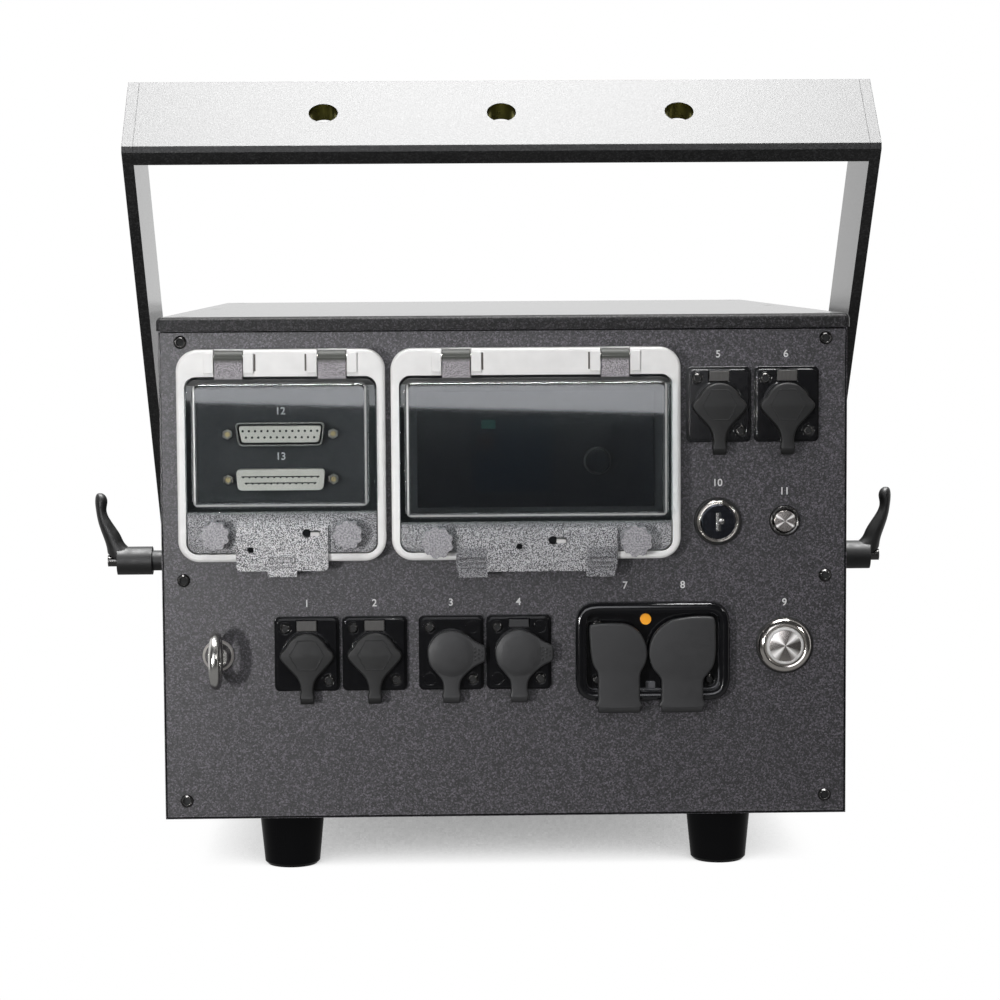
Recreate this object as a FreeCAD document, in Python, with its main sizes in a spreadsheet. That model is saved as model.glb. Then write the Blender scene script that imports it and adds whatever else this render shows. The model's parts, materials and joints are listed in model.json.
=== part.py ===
import FreeCAD, Part
import os
import re
import Sketcher
from FreeCAD import Placement, Rotation, Vector

# A laser show projector: a sealed sheet-metal housing in a tilting yoke. The rear panel carries the
# connectors, switches and two hinged clear windows; the beam leaves through the front panel.
# Lengths are millimetres and angles are degrees. +X is right as seen facing the rear panel, +Y runs
# from the rear panel to the front panel, +Z is up, and the feet stand on Z = 0.
# Places on the rear panel are given across from its middle and up from its bottom edge.

SIZES = {
    # Clearances that every piece shares
    "running_fit": 0.05,
    "turning_gap": 0.3,
    "slide_gap": 0.3,
    "screw_gap": 0.2,
    "overrun": 2.0,
    # Sheet-metal housing
    "panel_width": 308.0,
    "panel_height": 218.7,
    "housing_depth": 428.0,
    "rear_thickness": 3.0,
    "front_thickness": 3.0,
    "side_thickness": 3.0,
    "flange_margin": 3.3,
    "base_thickness": 1.6,
    "lid_thickness": 6.1,
    "lid_lip": 2.0,
    "lid_side_lip": 1.0,
    "lid_edge": 2.4,
    # Button-head screws that close the housing
    "screw_head": 5.9,
    "screw_head_height": 1.7,
    "screw_crown": 3.8,
    "screw_shank": 3.0,
    "screw_length": 9.0,
    "screw_inset": 9.7,
    "screw_low": 6.7,
    "screw_middle_drop": 9.1,
    "screw_top": 5.0,
    "lid_screw_inset": 14.0,
    # Rubber feet
    "foot_height": 24.8,
    "foot_top": 29.7,
    "foot_bottom": 25.2,
    "foot_edge": 1.5,
    "foot_spread": 196.0,
    "foot_inset": 21.0,
    # Tilting yoke and its clamps
    "pivot_depth": 209.2,
    "pivot_height": 94.1,
    "yoke_tilt": 41.1,
    "yoke_reach": 293.8,
    "yoke_width": 50.0,
    "yoke_chamfer": 2.0,
    "arm_thickness": 5.0,
    "bar_thickness": 9.0,
    "bar_hole": 13.0,
    "bar_hole_pitch": 80.0,
    "bar_screw_head": 8.0,
    "bar_screw_sink": 3.0,
    "bar_screw": 4.0,
    "bar_screw_length": 20.0,
    "bar_screw_pitch": 28.0,
    "spacer_size": 40.0,
    "spacer_length": 9.5,
    "stud_size": 8.0,
    "stud_nut": 13.0,
    "stud_nut_height": 6.5,
    "stud_tip": 6.0,
    "stud_tip_length": 5.0,
    "lever_collar": 10.5,
    "lever_collar_length": 9.4,
    "lever_hub": 14.7,
    "lever_hub_length": 18.2,
    "lever_height": 35.4,
    "lever_lean": 11.4,
    "lever_root": 14.0,
    "lever_depth": 9.6,
    # Hinged windows: what both share
    "frame_top_gap": 8.2,
    "frame_height": 94.5,
    "frame_depth": 10.0,
    "frame_corner": 9.5,
    "frame_side": 3.7,
    "frame_band": 12.0,
    "frame_foot": 3.5,
    "frame_inner_corner": 5.0,
    "hinge_drop": 3.6,
    "hinge_inset": 3.2,
    "hinge_pin": 2.5,
    "pin_grip": 4.0,
    "lug_width": 12.5,
    "lug_radius": 3.0,
    "lug_gap": 0.4,
    "knuckle_width": 4.4,
    "knuckle_proud": 1.0,
    "knuckle_margin": 1.6,
    "cover_thickness": 2.5,
    "cover_gap": 0.5,
    "cover_top_gap": 1.2,
    "box_reach": 20.0,
    "box_wall": 2.0,
    "box_corner": 4.0,
    "box_edge": 1.6,
    "box_top_margin": 1.5,
    "tab_thickness": 2.2,
    "tab_height": 20.0,
    "tab_corner": 2.5,
    "tab_dot": 2.8,
    "tab_key": 4.0,
    "tab_key_slot": 2.4,
    "tab_key_length": 6.0,
    "lip_height": 2.6,
    "lip_width": 13.0,
    "grip_rib": 1.2,
    "grip_width": 11.5,
    "grip_pitch": 2.2,
    "knob_length": 8.0,
    "knob_stem": 6.0,
    "knob_keeper": 8.0,
    "knob_keeper_length": 1.5,
    "knob_scallop": 1.7,
    "knob_scallop_out": 0.9,
    # Small window over the signal connectors
    "small_inset": 8.35,
    "small_width": 92.5,
    "small_box_side": 3.55,
    "small_box_lift": 21.4,
    "small_lug_inset": 23.35,
    "small_knob_inset": 16.85,
    "small_knob_lift": 8.9,
    "small_knob_size": 13.0,
    "small_tab_clear": 2.4,
    "small_tab_drop": 7.5,
    "small_dot_out": 14.0,
    "small_dot_lift": 2.0,
    "small_key_out": 11.0,
    "small_key_lift": 9.3,
    # Large window over the control unit
    "window_gap": 2.55,
    "large_box_side": 2.5,
    "large_box_lift": 16.1,
    "large_lug_inset": 29.2,
    "large_knob_inset": 20.3,
    "large_knob_lift": 5.1,
    "large_knob_size": 14.0,
    "large_tab_clear": 1.2,
    "large_tab_drop": 8.5,
    "large_dot_out": 7.7,
    "large_dot_lift": 2.7,
    "large_key_out": 7.3,
    "large_key_lift": 5.3,
    "large_grip_inset": 7.5,
    # Signal connectors behind the small window
    "signal_shift": 0.6,
    "signal_drop": 25.8,
    "signal_pitch": 20.3,
    "shell_width": 38.9,
    "shell_height": 8.6,
    "shell_slant": 1.5,
    "shell_reach": 6.0,
    "shell_rim": 0.7,
    "shell_recess": 1.2,
    "shell_corner": 1.8,
    "shell_base_ear": 6.0,
    "shell_base_height": 12.5,
    "shell_base_depth": 9.0,
    "jack_spread": 47.0,
    "jack_hex": 5.0,
    "jack_reach": 4.8,
    "jack_shank": 3.0,
    # Control unit behind the large window
    "unit_side": 11.5,
    "unit_height": 52.0,
    "unit_lift": 6.0,
    "unit_plate": 2.5,
    "unit_body_margin": 5.0,
    "unit_depth": 58.0,
    "display_shift": 10.1,
    "display_drop": 2.4,
    "display_width": 36.0,
    "display_height": 34.0,
    "display_sink": 0.8,
    "dial_shift": 27.6,
    "dial_drop": 5.4,
    "dial_size": 9.4,
    "dial_length": 7.0,
    "dial_shaft": 4.0,
    "dial_shaft_length": 9.0,
    # Panel sockets with their sealing caps
    "row_gap": 25.6,
    "socket_gap": 1.2,
    "network_step": 39.9,
    "dmx_gap": 5.2,
    "interlock_gap": 3.0,
    "interlock_inset": 13.0,
    "interlock_drop": 34.4,
    "gasket_width": 29.2,
    "gasket_height": 33.8,
    "gasket_depth": 2.0,
    "gasket_corner": 2.5,
    "gasket_lip": 1.3,
    "flange_plate_depth": 2.2,
    "flange_plate_corner": 2.0,
    "socket_collar": 21.2,
    "socket_collar_proud": 0.8,
    "socket_body": 23.4,
    "socket_depth": 24.0,
    "socket_bore": 18.0,
    "socket_bore_depth": 18.0,
    "latch_width": 8.8,
    "latch_gap": 0.9,
    "latch_edge": 0.4,
    "latch_proud": 1.2,
    "latch_back": 2.0,
    "network_cap": 19.4,
    "interlock_cap": 19.4,
    "dmx_cap": 21.6,
    "cap_ear_width": 24.0,
    "cap_ear_height": 3.4,
    "cap_ear_sink": 0.3,
    "cap_taper": 9.0,
    "cap_thickness": 3.0,
    "cap_plug_length": 3.0,
    "cap_slack": 0.8,
    "cap_hex": 15.0,
    "cap_hex_line": 0.8,
    "cap_hex_sink": 0.5,
    "grip_ear_reach": 15.4,
    "grip_ear_tip": 5.8,
    "grip_ear_angle": 60.0,
    "network_strap": 5.5,
    "interlock_strap": 5.5,
    "dmx_strap": 7.5,
    "strap_thickness": 2.0,
    "strap_hang": 3.0,
    "strap_bend": 2.5,
    # Power inlet and outlet in one plate
    "power_shift": 0.75,
    "power_width": 69.4,
    "power_height": 44.3,
    "power_rim": 7.0,
    "power_corner": 10.0,
    "power_border": 4.6,
    "power_floor": 2.5,
    "power_inner_corner": 4.0,
    "power_body_margin": 6.5,
    "power_depth": 30.0,
    "inlet_x": -15.4,
    "power_cap_gap": 0.7,
    "inlet_bore": 19.0,
    "outlet_bore": 22.0,
    "power_bore_depth": 20.0,
    "inlet_cap": 25.4,
    "inlet_corner_out": 13.6,
    "inlet_corner_up": 11.6,
    "outlet_cap": 30.0,
    "outlet_corner_out": 12.8,
    "outlet_corner_up": 15.5,
    "power_cap_thickness": 3.2,
    "power_plug_length": 7.0,
    "power_strap_width": 18.7,
    "power_strap_hang": 2.65,
    "lamp_size": 4.9,
    "lamp_x": -3.0,
    "lamp_z": 14.5,
    "lamp_proud": 1.6,
    "lamp_sink": 1.5,
    # Key switch and push buttons
    "switch_drop": 52.6,
    "key_shift": 0.3,
    "key_ring": 21.5,
    "key_ring_depth": 3.4,
    "key_body": 18.4,
    "key_depth": 28.0,
    "key_barrel_size": 15.0,
    "key_barrel_proud": 0.8,
    "key_barrel_length": 20.0,
    "keyway_width": 2.0,
    "keyway_height": 8.0,
    "keyway_depth": 6.0,
    "safety_shift": 0.5,
    "safety_ring": 14.0,
    "safety_ring_depth": 2.4,
    "safety_body": 11.6,
    "safety_face": 10.0,
    "power_button_inset": 28.0,
    "power_button_lift": 1.8,
    "power_ring": 26.0,
    "power_ring_depth": 3.6,
    "power_ring_face": 21.0,
    "power_body": 21.6,
    "power_face": 16.6,
    "button_depth": 26.0,
    "button_length": 10.0,
    "button_proud": 0.8,
    "button_well": 14.0,
    # Safety eye
    "eye_inset": 24.8,
    "eye_lift": -0.6,
    "eye_bore": 16.0,
    "eye_wire": 5.0,
    "eye_collar": 13.6,
    "eye_neck": 9.0,
    "eye_collar_length": 7.0,
    "eye_shank": 8.0,
    "eye_shank_length": 14.0,
    # Beam window in the front panel, with its sliding mask
    "beam_height": 120.0,
    "beam_width": 92.0,
    "beam_tall": 62.0,
    "pane_border": 4.0,
    "bezel_border": 16.0,
    "bezel_depth": 6.0,
    "bezel_corner": 8.0,
    "bezel_inner_corner": 4.0,
    "mask_thickness": 2.5,
    "mask_margin": 1.0,
    "mask_bar": 20.0,
    "mask_arm": 15.0,
    "mask_rise": 16.0,
    "mask_travel": 20.0,
    "thumb_size": 12.0,
    "thumb_length": 5.0,
    "thumb_post": 5.0,
    # Optics and supply inside the housing
    "bench_gap": 12.0,
    "bench_thickness": 8.0,
    "bench_rear_gap": 100.0,
    "bench_front_gap": 18.0,
    "module_width": 46.0,
    "module_gap": 13.3,
    "module_height": 40.0,
    "module_inset": 59.0,
    "combiner_width": 24.0,
    "combiner_height": 30.0,
    "combiner_thickness": 3.0,
    "combiner_turn": 45.0,
    "scanner_width": 56.0,
    "scanner_length": 50.0,
    "scanner_front_gap": 25.0,
    "scanner_drop": 22.0,
    "motor_wall": 14.0,
    "motor_rise": 12.0,
    "scan_shaft": 3.0,
    "scan_seat": 10.0,
    "scan_mirror_width": 8.0,
    "scan_mirror_height": 12.0,
    "scan_mirror_thickness": 1.2,
    "scan_gap": 14.0,
    "supply_width": 100.0,
    "supply_length": 180.0,
    "supply_height": 50.0,
    "supply_inset": 53.0,
    "board_width": 80.0,
    "board_length": 140.0,
    "board_thickness": 1.6,
    "board_post": 6.0,
    "board_post_height": 8.0,
    "board_post_inset": 8.0,
}

# How many laser modules stand in a row on the bench, each with its own mirror.
MODULES = 3

# Places and sizes that follow from the driving ones. Every formula is spelled out again wherever its
# name is used, so a change in the sheet reaches each piece that depends on it.
DERIVED = {
    "half_width": "panel_width / 2",
    "flange_width": "screw_inset + flange_margin",
    "socket_pitch": "gasket_width + socket_gap",
    "flange_plate_width": "gasket_width - 2 * gasket_lip",
    "flange_plate_height": "gasket_height - 2 * gasket_lip",
    "latch_high": "flange_plate_height / 2 - latch_edge",
    "frame_low": "panel_height - frame_top_gap - frame_height",
    "frame_sill": "frame_low + frame_foot",
    "frame_lintel": "frame_low + frame_height - frame_band",
    "interlock_row": "panel_height - interlock_drop",
    "socket_row": "frame_low - row_gap - gasket_height / 2",
    "switch_row": "interlock_row - switch_drop",
    "power_button_z": "socket_row + power_button_lift",
    "eye_z": "socket_row + eye_lift",
    "screw_middle": "frame_low - screw_middle_drop",
    "screw_high": "panel_height - screw_top",
    "small_x": "small_inset + small_width / 2 - half_width",
    "interlock_width": "gasket_width + socket_pitch + interlock_gap + interlock_inset",
    "large_width": "panel_width - small_inset - small_width - window_gap - interlock_width",
    "large_x": "small_x + small_width / 2 + window_gap + large_width / 2",
    "interlock_x": "large_x + large_width / 2 + interlock_gap + gasket_width / 2",
    "eye_x": "eye_inset - half_width",
    "network_x": "eye_x + network_step",
    "dmx_x": "network_x + socket_pitch + gasket_width + dmx_gap",
    "power_button_x": "half_width - power_button_inset",
    "dmx_edge": "dmx_x + socket_pitch + gasket_width / 2",
    "power_x": "(dmx_edge + power_button_x - power_ring / 2) / 2 - power_shift",
    "outlet_x": "inlet_x + inlet_cap / 2 + power_cap_gap + outlet_cap / 2",
    "key_x": "interlock_x - key_shift",
    "safety_x": "interlock_x + socket_pitch - safety_shift",
    "small_box_width": "small_width - 2 * frame_side - 2 * small_box_side",
    "large_box_width": "large_width - 2 * frame_side - 2 * large_box_side",
    "small_box_low": "frame_sill + small_box_lift",
    "large_box_low": "frame_sill + large_box_lift",
    "small_lug_spread": "small_width - 2 * small_lug_inset",
    "large_lug_spread": "large_width - 2 * large_lug_inset",
    "small_knob_spread": "small_width - 2 * small_knob_inset",
    "large_knob_spread": "large_width - 2 * large_knob_inset",
    "small_knob_height": "frame_sill + small_knob_lift",
    "large_knob_height": "frame_sill + large_knob_lift",
    "small_tab_width": "small_knob_spread - small_knob_size - 2 * small_tab_clear",
    "large_tab_width": "large_knob_spread - large_knob_size - 2 * large_tab_clear",
    "small_tab_low": "frame_sill - small_tab_drop",
    "large_tab_low": "frame_sill - large_tab_drop",
    "signal_x": "small_x - signal_shift",
    "signal_upper": "frame_lintel - signal_drop",
    "signal_lower": "signal_upper - signal_pitch",
    "shell_base_width": "jack_spread + shell_base_ear",
    "unit_width": "large_width - 2 * unit_side",
    "unit_z": "(frame_sill + frame_lintel) / 2 + unit_lift",
    "display_x": "large_x - display_shift",
    "display_z": "unit_z - display_drop",
    "dial_x": "large_x + dial_shift",
    "dial_z": "unit_z - dial_drop",
    "eye_out": "eye_collar_length + eye_bore / 2 + eye_wire / 2",
    "eye_reach": "eye_out + eye_bore / 2 + eye_wire",
    "mask_back": "bezel_depth + slide_gap",
    "mask_front": "mask_back + mask_thickness",
    "window_reach": "mask_front + slide_gap + thumb_length",
    "rear": "(eye_reach - housing_depth - window_reach) / 2",
    "front": "rear + housing_depth",
    "deck": "foot_height + base_thickness",
    "roof": "deck + panel_height",
    "lid_top": "roof + lid_thickness",
    "lid_seat": "lid_top - screw_head_height",
    "screw_x": "half_width - screw_inset",
    "pivot_y": "rear + pivot_depth",
    "pivot_z": "deck + pivot_height",
    "arm_in": "half_width + spacer_length + turning_gap",
    "arm_out": "arm_in + arm_thickness",
    "collar_in": "arm_out + turning_gap",
    "hub_in": "collar_in + lever_collar_length",
    "hub_out": "hub_in + lever_hub_length",
    "frame_front": "rear - frame_depth",
    "cover_back": "frame_front + cover_thickness",
    "opening_low": "deck + frame_sill",
    "opening_high": "deck + frame_lintel",
    "cover_low": "opening_low + cover_gap",
    "cover_high": "opening_high - cover_top_gap",
    "box_high": "cover_high - box_top_margin",
    "hinge_y": "frame_front + hinge_inset",
    "hinge_z": "deck + frame_low + frame_height - hinge_drop",
    "tab_back": "frame_front - slide_gap",
    "tab_front": "tab_back - tab_thickness",
    "knob_back": "frame_front - turning_gap",
    "knob_front": "knob_back - knob_length",
    "flange_front": "gasket_depth + flange_plate_depth",
    "cap_back": "flange_front + socket_collar_proud + slide_gap",
    "cap_front": "cap_back + cap_thickness",
    "strap_drop": "gasket_height / 2 + strap_hang",
    "power_cap_back": "power_rim + slide_gap",
    "power_cap_front": "power_cap_back + power_cap_thickness",
    "power_strap_drop": "power_height / 2 + power_strap_hang",
    "beam_z": "deck + beam_height",
    "bezel_width": "beam_width + 2 * bezel_border",
    "bezel_tall": "beam_tall + 2 * bezel_border",
    "post_x": "beam_width / 2 + bezel_border / 2",
    "bench_width": "panel_width - 2 * flange_width - 2 * bench_gap",
    "module_x": "module_inset - bench_width / 2",
    "supply_x": "bench_width / 2 - supply_inset",
    "bench_top": "deck + bench_thickness",
    "scanner_front": "front - front_thickness - scanner_front_gap",
    "scanner_back": "scanner_front - scanner_length",
    "scanner_top": "beam_z - scanner_drop",
    "module_row": f"(scanner_back - rear - bench_rear_gap) / {MODULES}",
    "module_length": "module_row - module_gap",
    "supply_rear": "rear + bench_rear_gap + board_post_inset",
}

WORD = re.compile(r"[a-z]\w*")
LIE_ALONG = {
    "x": Rotation(Vector(0, 1, 0), 90),
    "y": Rotation(Vector(1, 0, 0), -90),
    "z": Rotation(),
}
FIRST_TURN = 1.0
SIDES = ((-1, "left"), (1, "right"))

doc = FreeCAD.newDocument("laser_show_projector")
sheet = doc.addObject("Spreadsheet::Sheet", "sizes")
for row, (alias, value) in enumerate(SIZES.items(), start=1):
    sheet.set(f"A{row}", str(value))
    sheet.setAlias(f"A{row}", alias)
doc.recompute()

gauge = doc.addObject("App::FeaturePython", "gauge")
gauge.addProperty("App::PropertyFloat", "reading")
nodes = {}


# Formulas

def bound(formula):
    """Spell a formula out so that each size in it points at its cell of the sheet."""
    def spell(match):
        word = match.group()
        if word in DERIVED:
            return f"({bound(DERIVED[word])})"
        return f"sizes.{word}" if word in SIZES else word
    return WORD.sub(spell, formula)


def measure(formula):
    """Read a formula's value, for a first sketch or an edge that is looked for by its place."""
    gauge.setExpression("reading", bound(formula))
    gauge.recompute()
    return gauge.reading


def across(width, middle="0"):
    """The two ends of a width that is centred on a middle."""
    return f"{middle} - ({width}) / 2", f"{middle} + ({width}) / 2"


def bind(piece, **formulas):
    for name, formula in formulas.items():
        piece.setExpression(name, bound(formula))
    return piece


def place(piece, x="0", y="0", z="0", axis=None, angle="0"):
    """Bind a piece's place, and its turn about an axis, to formulas."""
    if axis is not None:
        piece.Placement = Placement(Vector(), Rotation(axis, FIRST_TURN))
        piece.setExpression(".Placement.Rotation.Angle", bound(angle))
    for name, formula in zip("xyz", (x, y, z)):
        piece.setExpression(f".Placement.Base.{name}", bound(formula))
    return piece


# Solids

def block(name, x, y, z):
    """A box between the low and high formulas of each axis."""
    piece = doc.addObject("Part::Box", name)
    for side, (low, high) in zip(("Length", "Width", "Height"), (x, y, z)):
        piece.setExpression(side, bound(f"({high}) - ({low})"))
    return place(piece, x[0], y[0], z[0])


def rod(name, radius, along, span, at=("0", "0"), tip=None):
    """A round bar along one axis, tapered to a tip radius if one is given."""
    if tip is None:
        piece = bind(doc.addObject("Part::Cylinder", name), Radius=radius)
    else:
        piece = bind(doc.addObject("Part::Cone", name), Radius1=radius, Radius2=tip)
    low, high = span
    bind(piece, Height=f"({high}) - ({low})")
    piece.Placement = Placement(Vector(), LIE_ALONG[along])
    base = list(at)
    base.insert("xyz".index(along), low)
    return place(piece, *base)


def hexagon(name, corner_size, along, span, at=("0", "0")):
    piece = bind(doc.addObject("Part::Prism", name), Circumradius=f"({corner_size}) / 2")
    piece.Polygon = 6
    low, high = span
    bind(piece, Height=f"({high}) - ({low})")
    piece.Placement = Placement(Vector(), LIE_ALONG[along])
    base = list(at)
    base.insert("xyz".index(along), low)
    return place(piece, *base)


def join(name, *pieces):
    fused = doc.addObject("Part::MultiFuse", name)
    fused.Shapes = list(pieces)
    return fused


def cut(name, base, *tools):
    piece = doc.addObject("Part::Cut", name)
    piece.Base = base
    piece.Tool = tools[0] if len(tools) == 1 else join(name + "_tools", *tools)
    return piece


def group(name, *pieces):
    """Several separate solids that share one node."""
    bundle = doc.addObject("Part::Compound", name)
    bundle.Links = list(pieces)
    return bundle


def mirrored(name, source):
    """The same piece on the other side of the projector's middle plane."""
    twin = doc.addObject("Part::Mirroring", name)
    twin.Source = source
    twin.Normal = Vector(1, 0, 0)
    return twin


def node(piece, name=None):
    """Keep a finished piece as a named node of the part."""
    piece.Label = name or piece.Name
    nodes[piece.Label] = piece
    return piece


# Sketched plates

def hold_point(sketch, geometry, end, x, y, spot):
    """Hold a sketch point at two formulas, measured from the sketch's origin."""
    for kind, formula, start in (("DistanceX", x, spot.x), ("DistanceY", y, spot.y)):
        index = sketch.addConstraint(Sketcher.Constraint(kind, -1, 1, geometry, end, start))
        sketch.setExpression(f"Constraints[{index}]", bound(formula))


def draw_polygon(sketch, points):
    spots = [Vector(measure(x), measure(y), 0) for x, y in points]
    first = sketch.GeometryCount
    for spot, following in zip(spots, spots[1:] + spots[:1]):
        sketch.addGeometry(Part.LineSegment(spot, following))
    for index in range(len(points)):
        following = (index + 1) % len(points)
        sketch.addConstraint(Sketcher.Constraint("Coincident", first + index, 2, first + following, 1))
    for index, (x, y) in enumerate(points):
        hold_point(sketch, first + index, 1, x, y, spots[index])


def draw_circle(sketch, x, y, radius):
    spot = Vector(measure(x), measure(y), 0)
    circle = sketch.addGeometry(Part.Circle(spot, Vector(0, 0, 1), measure(radius)))
    index = sketch.addConstraint(Sketcher.Constraint("Radius", circle, measure(radius)))
    sketch.setExpression(f"Constraints[{index}]", bound(radius))
    hold_point(sketch, circle, 3, x, y, spot)


def rectangle(x, y):
    return [(x[0], y[0]), (x[1], y[0]), (x[1], y[1]), (x[0], y[1])]


def plate(name, plane, outlines, thickness, circles=()):
    """A padded sketch: the first outline is the plate's edge, and the rest are holes in it."""
    body = doc.addObject("PartDesign::Body", name)
    sketch = body.newObject("Sketcher::SketchObject", name + "_sketch")
    planes = {feature.Role: feature for feature in body.Origin.OriginFeatures}
    sketch.AttachmentSupport = [(planes[plane], "")]
    sketch.MapMode = "FlatFace"
    for outline in outlines:
        draw_polygon(sketch, outline)
    for x, y, radius in circles:
        draw_circle(sketch, x, y, radius)
    pad = body.newObject("PartDesign::Pad", name + "_pad")
    pad.Profile = sketch
    bind(pad, Length=thickness)
    doc.recompute()
    return body


def straight_along(axis):
    """A test for straight edges that run along one axis."""
    def test(edge):
        if len(edge.Vertexes) < 2 or edge.Curve.TypeId != "Part::GeomLine":
            return False
        return abs(getattr(edge.tangentAt(edge.FirstParameter), axis)) > 0.999
    return test


def lying_at(axis, formula):
    """A test for edges that lie wholly at one height along an axis."""
    level = measure(formula)

    def test(edge):
        low = getattr(edge.BoundBox, axis.upper() + "Min")
        high = getattr(edge.BoundBox, axis.upper() + "Max")
        return abs(low - level) < 1e-4 and abs(high - level) < 1e-4
    return test


def rounded(body, radius, chosen):
    """Round the edges of a body that a test picks."""
    names = [f"Edge{count}" for count, edge in enumerate(body.Tip.Shape.Edges, 1) if chosen(edge)]
    fillet = body.newObject("PartDesign::Fillet", f"{body.Name}_round_{len(body.Group)}")
    fillet.Base = (body.Group[-2], names)
    bind(fillet, Radius=radius)
    doc.recompute()
    return body


def rounded_plate(name, width, height, depth, corner, x="0", y="0", z="0"):
    """An upright plate with round corners, which reaches from its back at y towards the viewer."""
    outline = rectangle(across(width), across(height))
    body = rounded(plate(name, "XZ_Plane", [outline], depth), corner, straight_along("y"))
    return place(body, x, y, z)


# Housing

def screw_rows():
    """Where the housing's screws stand on the right half: rear and front rows, then the lid's."""
    uprights = [f"deck + {level}" for level in ("screw_low", "screw_middle", "screw_high")]
    along = ("rear + lid_screw_inset", "(rear + front) / 2", "front - lid_screw_inset")
    return uprights, along


def screw(name, along, at, seat, outward):
    """A button-head screw whose head sits on a seat; outward is the sign of its head's side."""
    head_top = f"{seat} + {outward} * screw_head_height"
    shank_end = f"{seat} - {outward} * screw_length"
    wide, narrow = "screw_head / 2", "screw_crown / 2"
    if outward > 0:
        head = rod(name + "_head", wide, along, (seat, head_top), at, tip=narrow)
        shank = rod(name + "_shank", "screw_shank / 2", along, (shank_end, seat), at)
    else:
        head = rod(name + "_head", narrow, along, (head_top, seat), at, tip=wide)
        shank = rod(name + "_shank", "screw_shank / 2", along, (seat, shank_end), at)
    return join(name, head, shank)


def lid_sink(name, at, slack="0"):
    """The cone of a flat head that ends flush with the lid's top."""
    return rod(name, f"screw_crown / 2 + {slack}", "z", ("lid_seat", "lid_top"), at,
               tip=f"screw_head / 2 + {slack}")


def lid_screw(name, at):
    shank = rod(name + "_shank", "screw_shank / 2", "z", ("lid_seat - screw_length", "lid_seat"), at)
    return join(name, lid_sink(name + "_head", at), shank)


def make_housing_screws():
    uprights, along = screw_rows()
    screws = []
    for sign, side in SIDES:
        x = f"{sign} * screw_x"
        for count, z in enumerate(uprights):
            screws.append(screw(f"{side}_rear_screw_{count}", "y", (x, z), "rear", -1))
            screws.append(screw(f"{side}_front_screw_{count}", "y", (x, z), "front", 1))
        for count, y in enumerate(along):
            screws.append(lid_screw(f"{side}_lid_screw_{count}", (x, y)))
    node(group("housing_screws", *screws))


def make_side_panels():
    """Folded side panels: a web with flanges for the rear, front, lid and base screws."""
    inner, outer = "half_width - flange_width", "half_width"
    back, fore = "rear + rear_thickness", "front - front_thickness"
    fold = "half_width - side_thickness"
    plan = [
        (outer, back), (outer, fore), (inner, fore), (inner, f"{fore} - side_thickness"),
        (fold, f"{fore} - side_thickness"), (fold, f"{back} + side_thickness"),
        (inner, f"{back} + side_thickness"), (inner, back),
    ]
    web = place(plate("side_web", "XY_Plane", [plan], "panel_height"), z="deck")
    top = block("side_top_flange", (inner, outer), (back, fore), ("roof - side_thickness", "roof"))
    foot = block("side_foot_flange", (inner, outer), (back, fore), ("deck", "deck + side_thickness"))
    hole = "screw_shank / 2 + screw_gap"
    uprights, along = screw_rows()
    drills = [rod("side_stud_hole", "stud_size / 2 + screw_gap", "x",
                  (f"{fold} - overrun", f"{outer} + overrun"), ("pivot_y", "pivot_z"))]
    for count, z in enumerate(uprights):
        drills.append(rod(f"side_rear_hole_{count}", hole, "y", ("rear", "rear + screw_length + overrun"),
                          ("screw_x", z)))
        drills.append(rod(f"side_front_hole_{count}", hole, "y", ("front - screw_length - overrun", "front"),
                          ("screw_x", z)))
    for count, y in enumerate(along):
        drills.append(rod(f"side_lid_hole_{count}", hole, "z", ("roof - screw_length", "roof + overrun"),
                          ("screw_x", y)))
    right = cut("right_side_panel", join("side_pressing", web, top, foot), *drills)
    node(group("side_panels", right, mirrored("left_side_panel", right)))


def panel_screw_holes():
    uprights, along = screw_rows()
    return [(f"{sign} * screw_x", z, "screw_shank / 2 + screw_gap") for sign, side in SIDES for z in uprights]


def socket_places():
    """Each round panel socket: its name, its place and whether a push tab locks its plug."""
    return [
        ("network_first", "network_x", "deck + socket_row", True),
        ("network_second", "network_x + socket_pitch", "deck + socket_row", True),
        ("dmx_in", "dmx_x", "deck + socket_row", False),
        ("dmx_out", "dmx_x + socket_pitch", "deck + socket_row", True),
        ("interlock_thru", "interlock_x", "deck + interlock_row", True),
        ("interlock_in", "interlock_x + socket_pitch", "deck + interlock_row", True),
    ]


def make_rear_panel():
    edge = rectangle(across("panel_width"), ("deck", "roof"))
    unit = rectangle(across("unit_width - 2 * unit_body_margin + 2 * screw_gap", "large_x"),
                     across("unit_height - 2 * unit_body_margin + 2 * screw_gap", "deck + unit_z"))
    power = rectangle(across("power_width - 2 * power_body_margin + 2 * screw_gap", "power_x"),
                      across("power_height - 2 * power_body_margin + 2 * screw_gap", "deck + socket_row"))
    shells = [rectangle(across("shell_width + 2 * screw_gap", "signal_x"),
                        across("shell_height + 2 * screw_gap", f"deck + {level}"))
              for level in ("signal_upper", "signal_lower")]
    circles = panel_screw_holes()
    circles += [(x, z, "socket_body / 2 + screw_gap") for name, x, z, locks in socket_places()]
    circles += [(f"signal_x + {sign} * jack_spread / 2", f"deck + {level}", "jack_shank / 2 + screw_gap")
                for sign, side in SIDES for level in ("signal_upper", "signal_lower")]
    circles += [
        ("key_x", "deck + switch_row", "key_body / 2 + screw_gap"),
        ("safety_x", "deck + switch_row", "safety_body / 2 + screw_gap"),
        ("power_button_x", "deck + power_button_z", "power_body / 2 + screw_gap"),
        ("eye_x", "deck + eye_z", "eye_shank / 2 + screw_gap"),
    ]
    panel = plate("rear_panel", "XZ_Plane", [edge, unit, power, *shells], "rear_thickness", circles)
    node(place(panel, y="rear + rear_thickness"))


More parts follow.
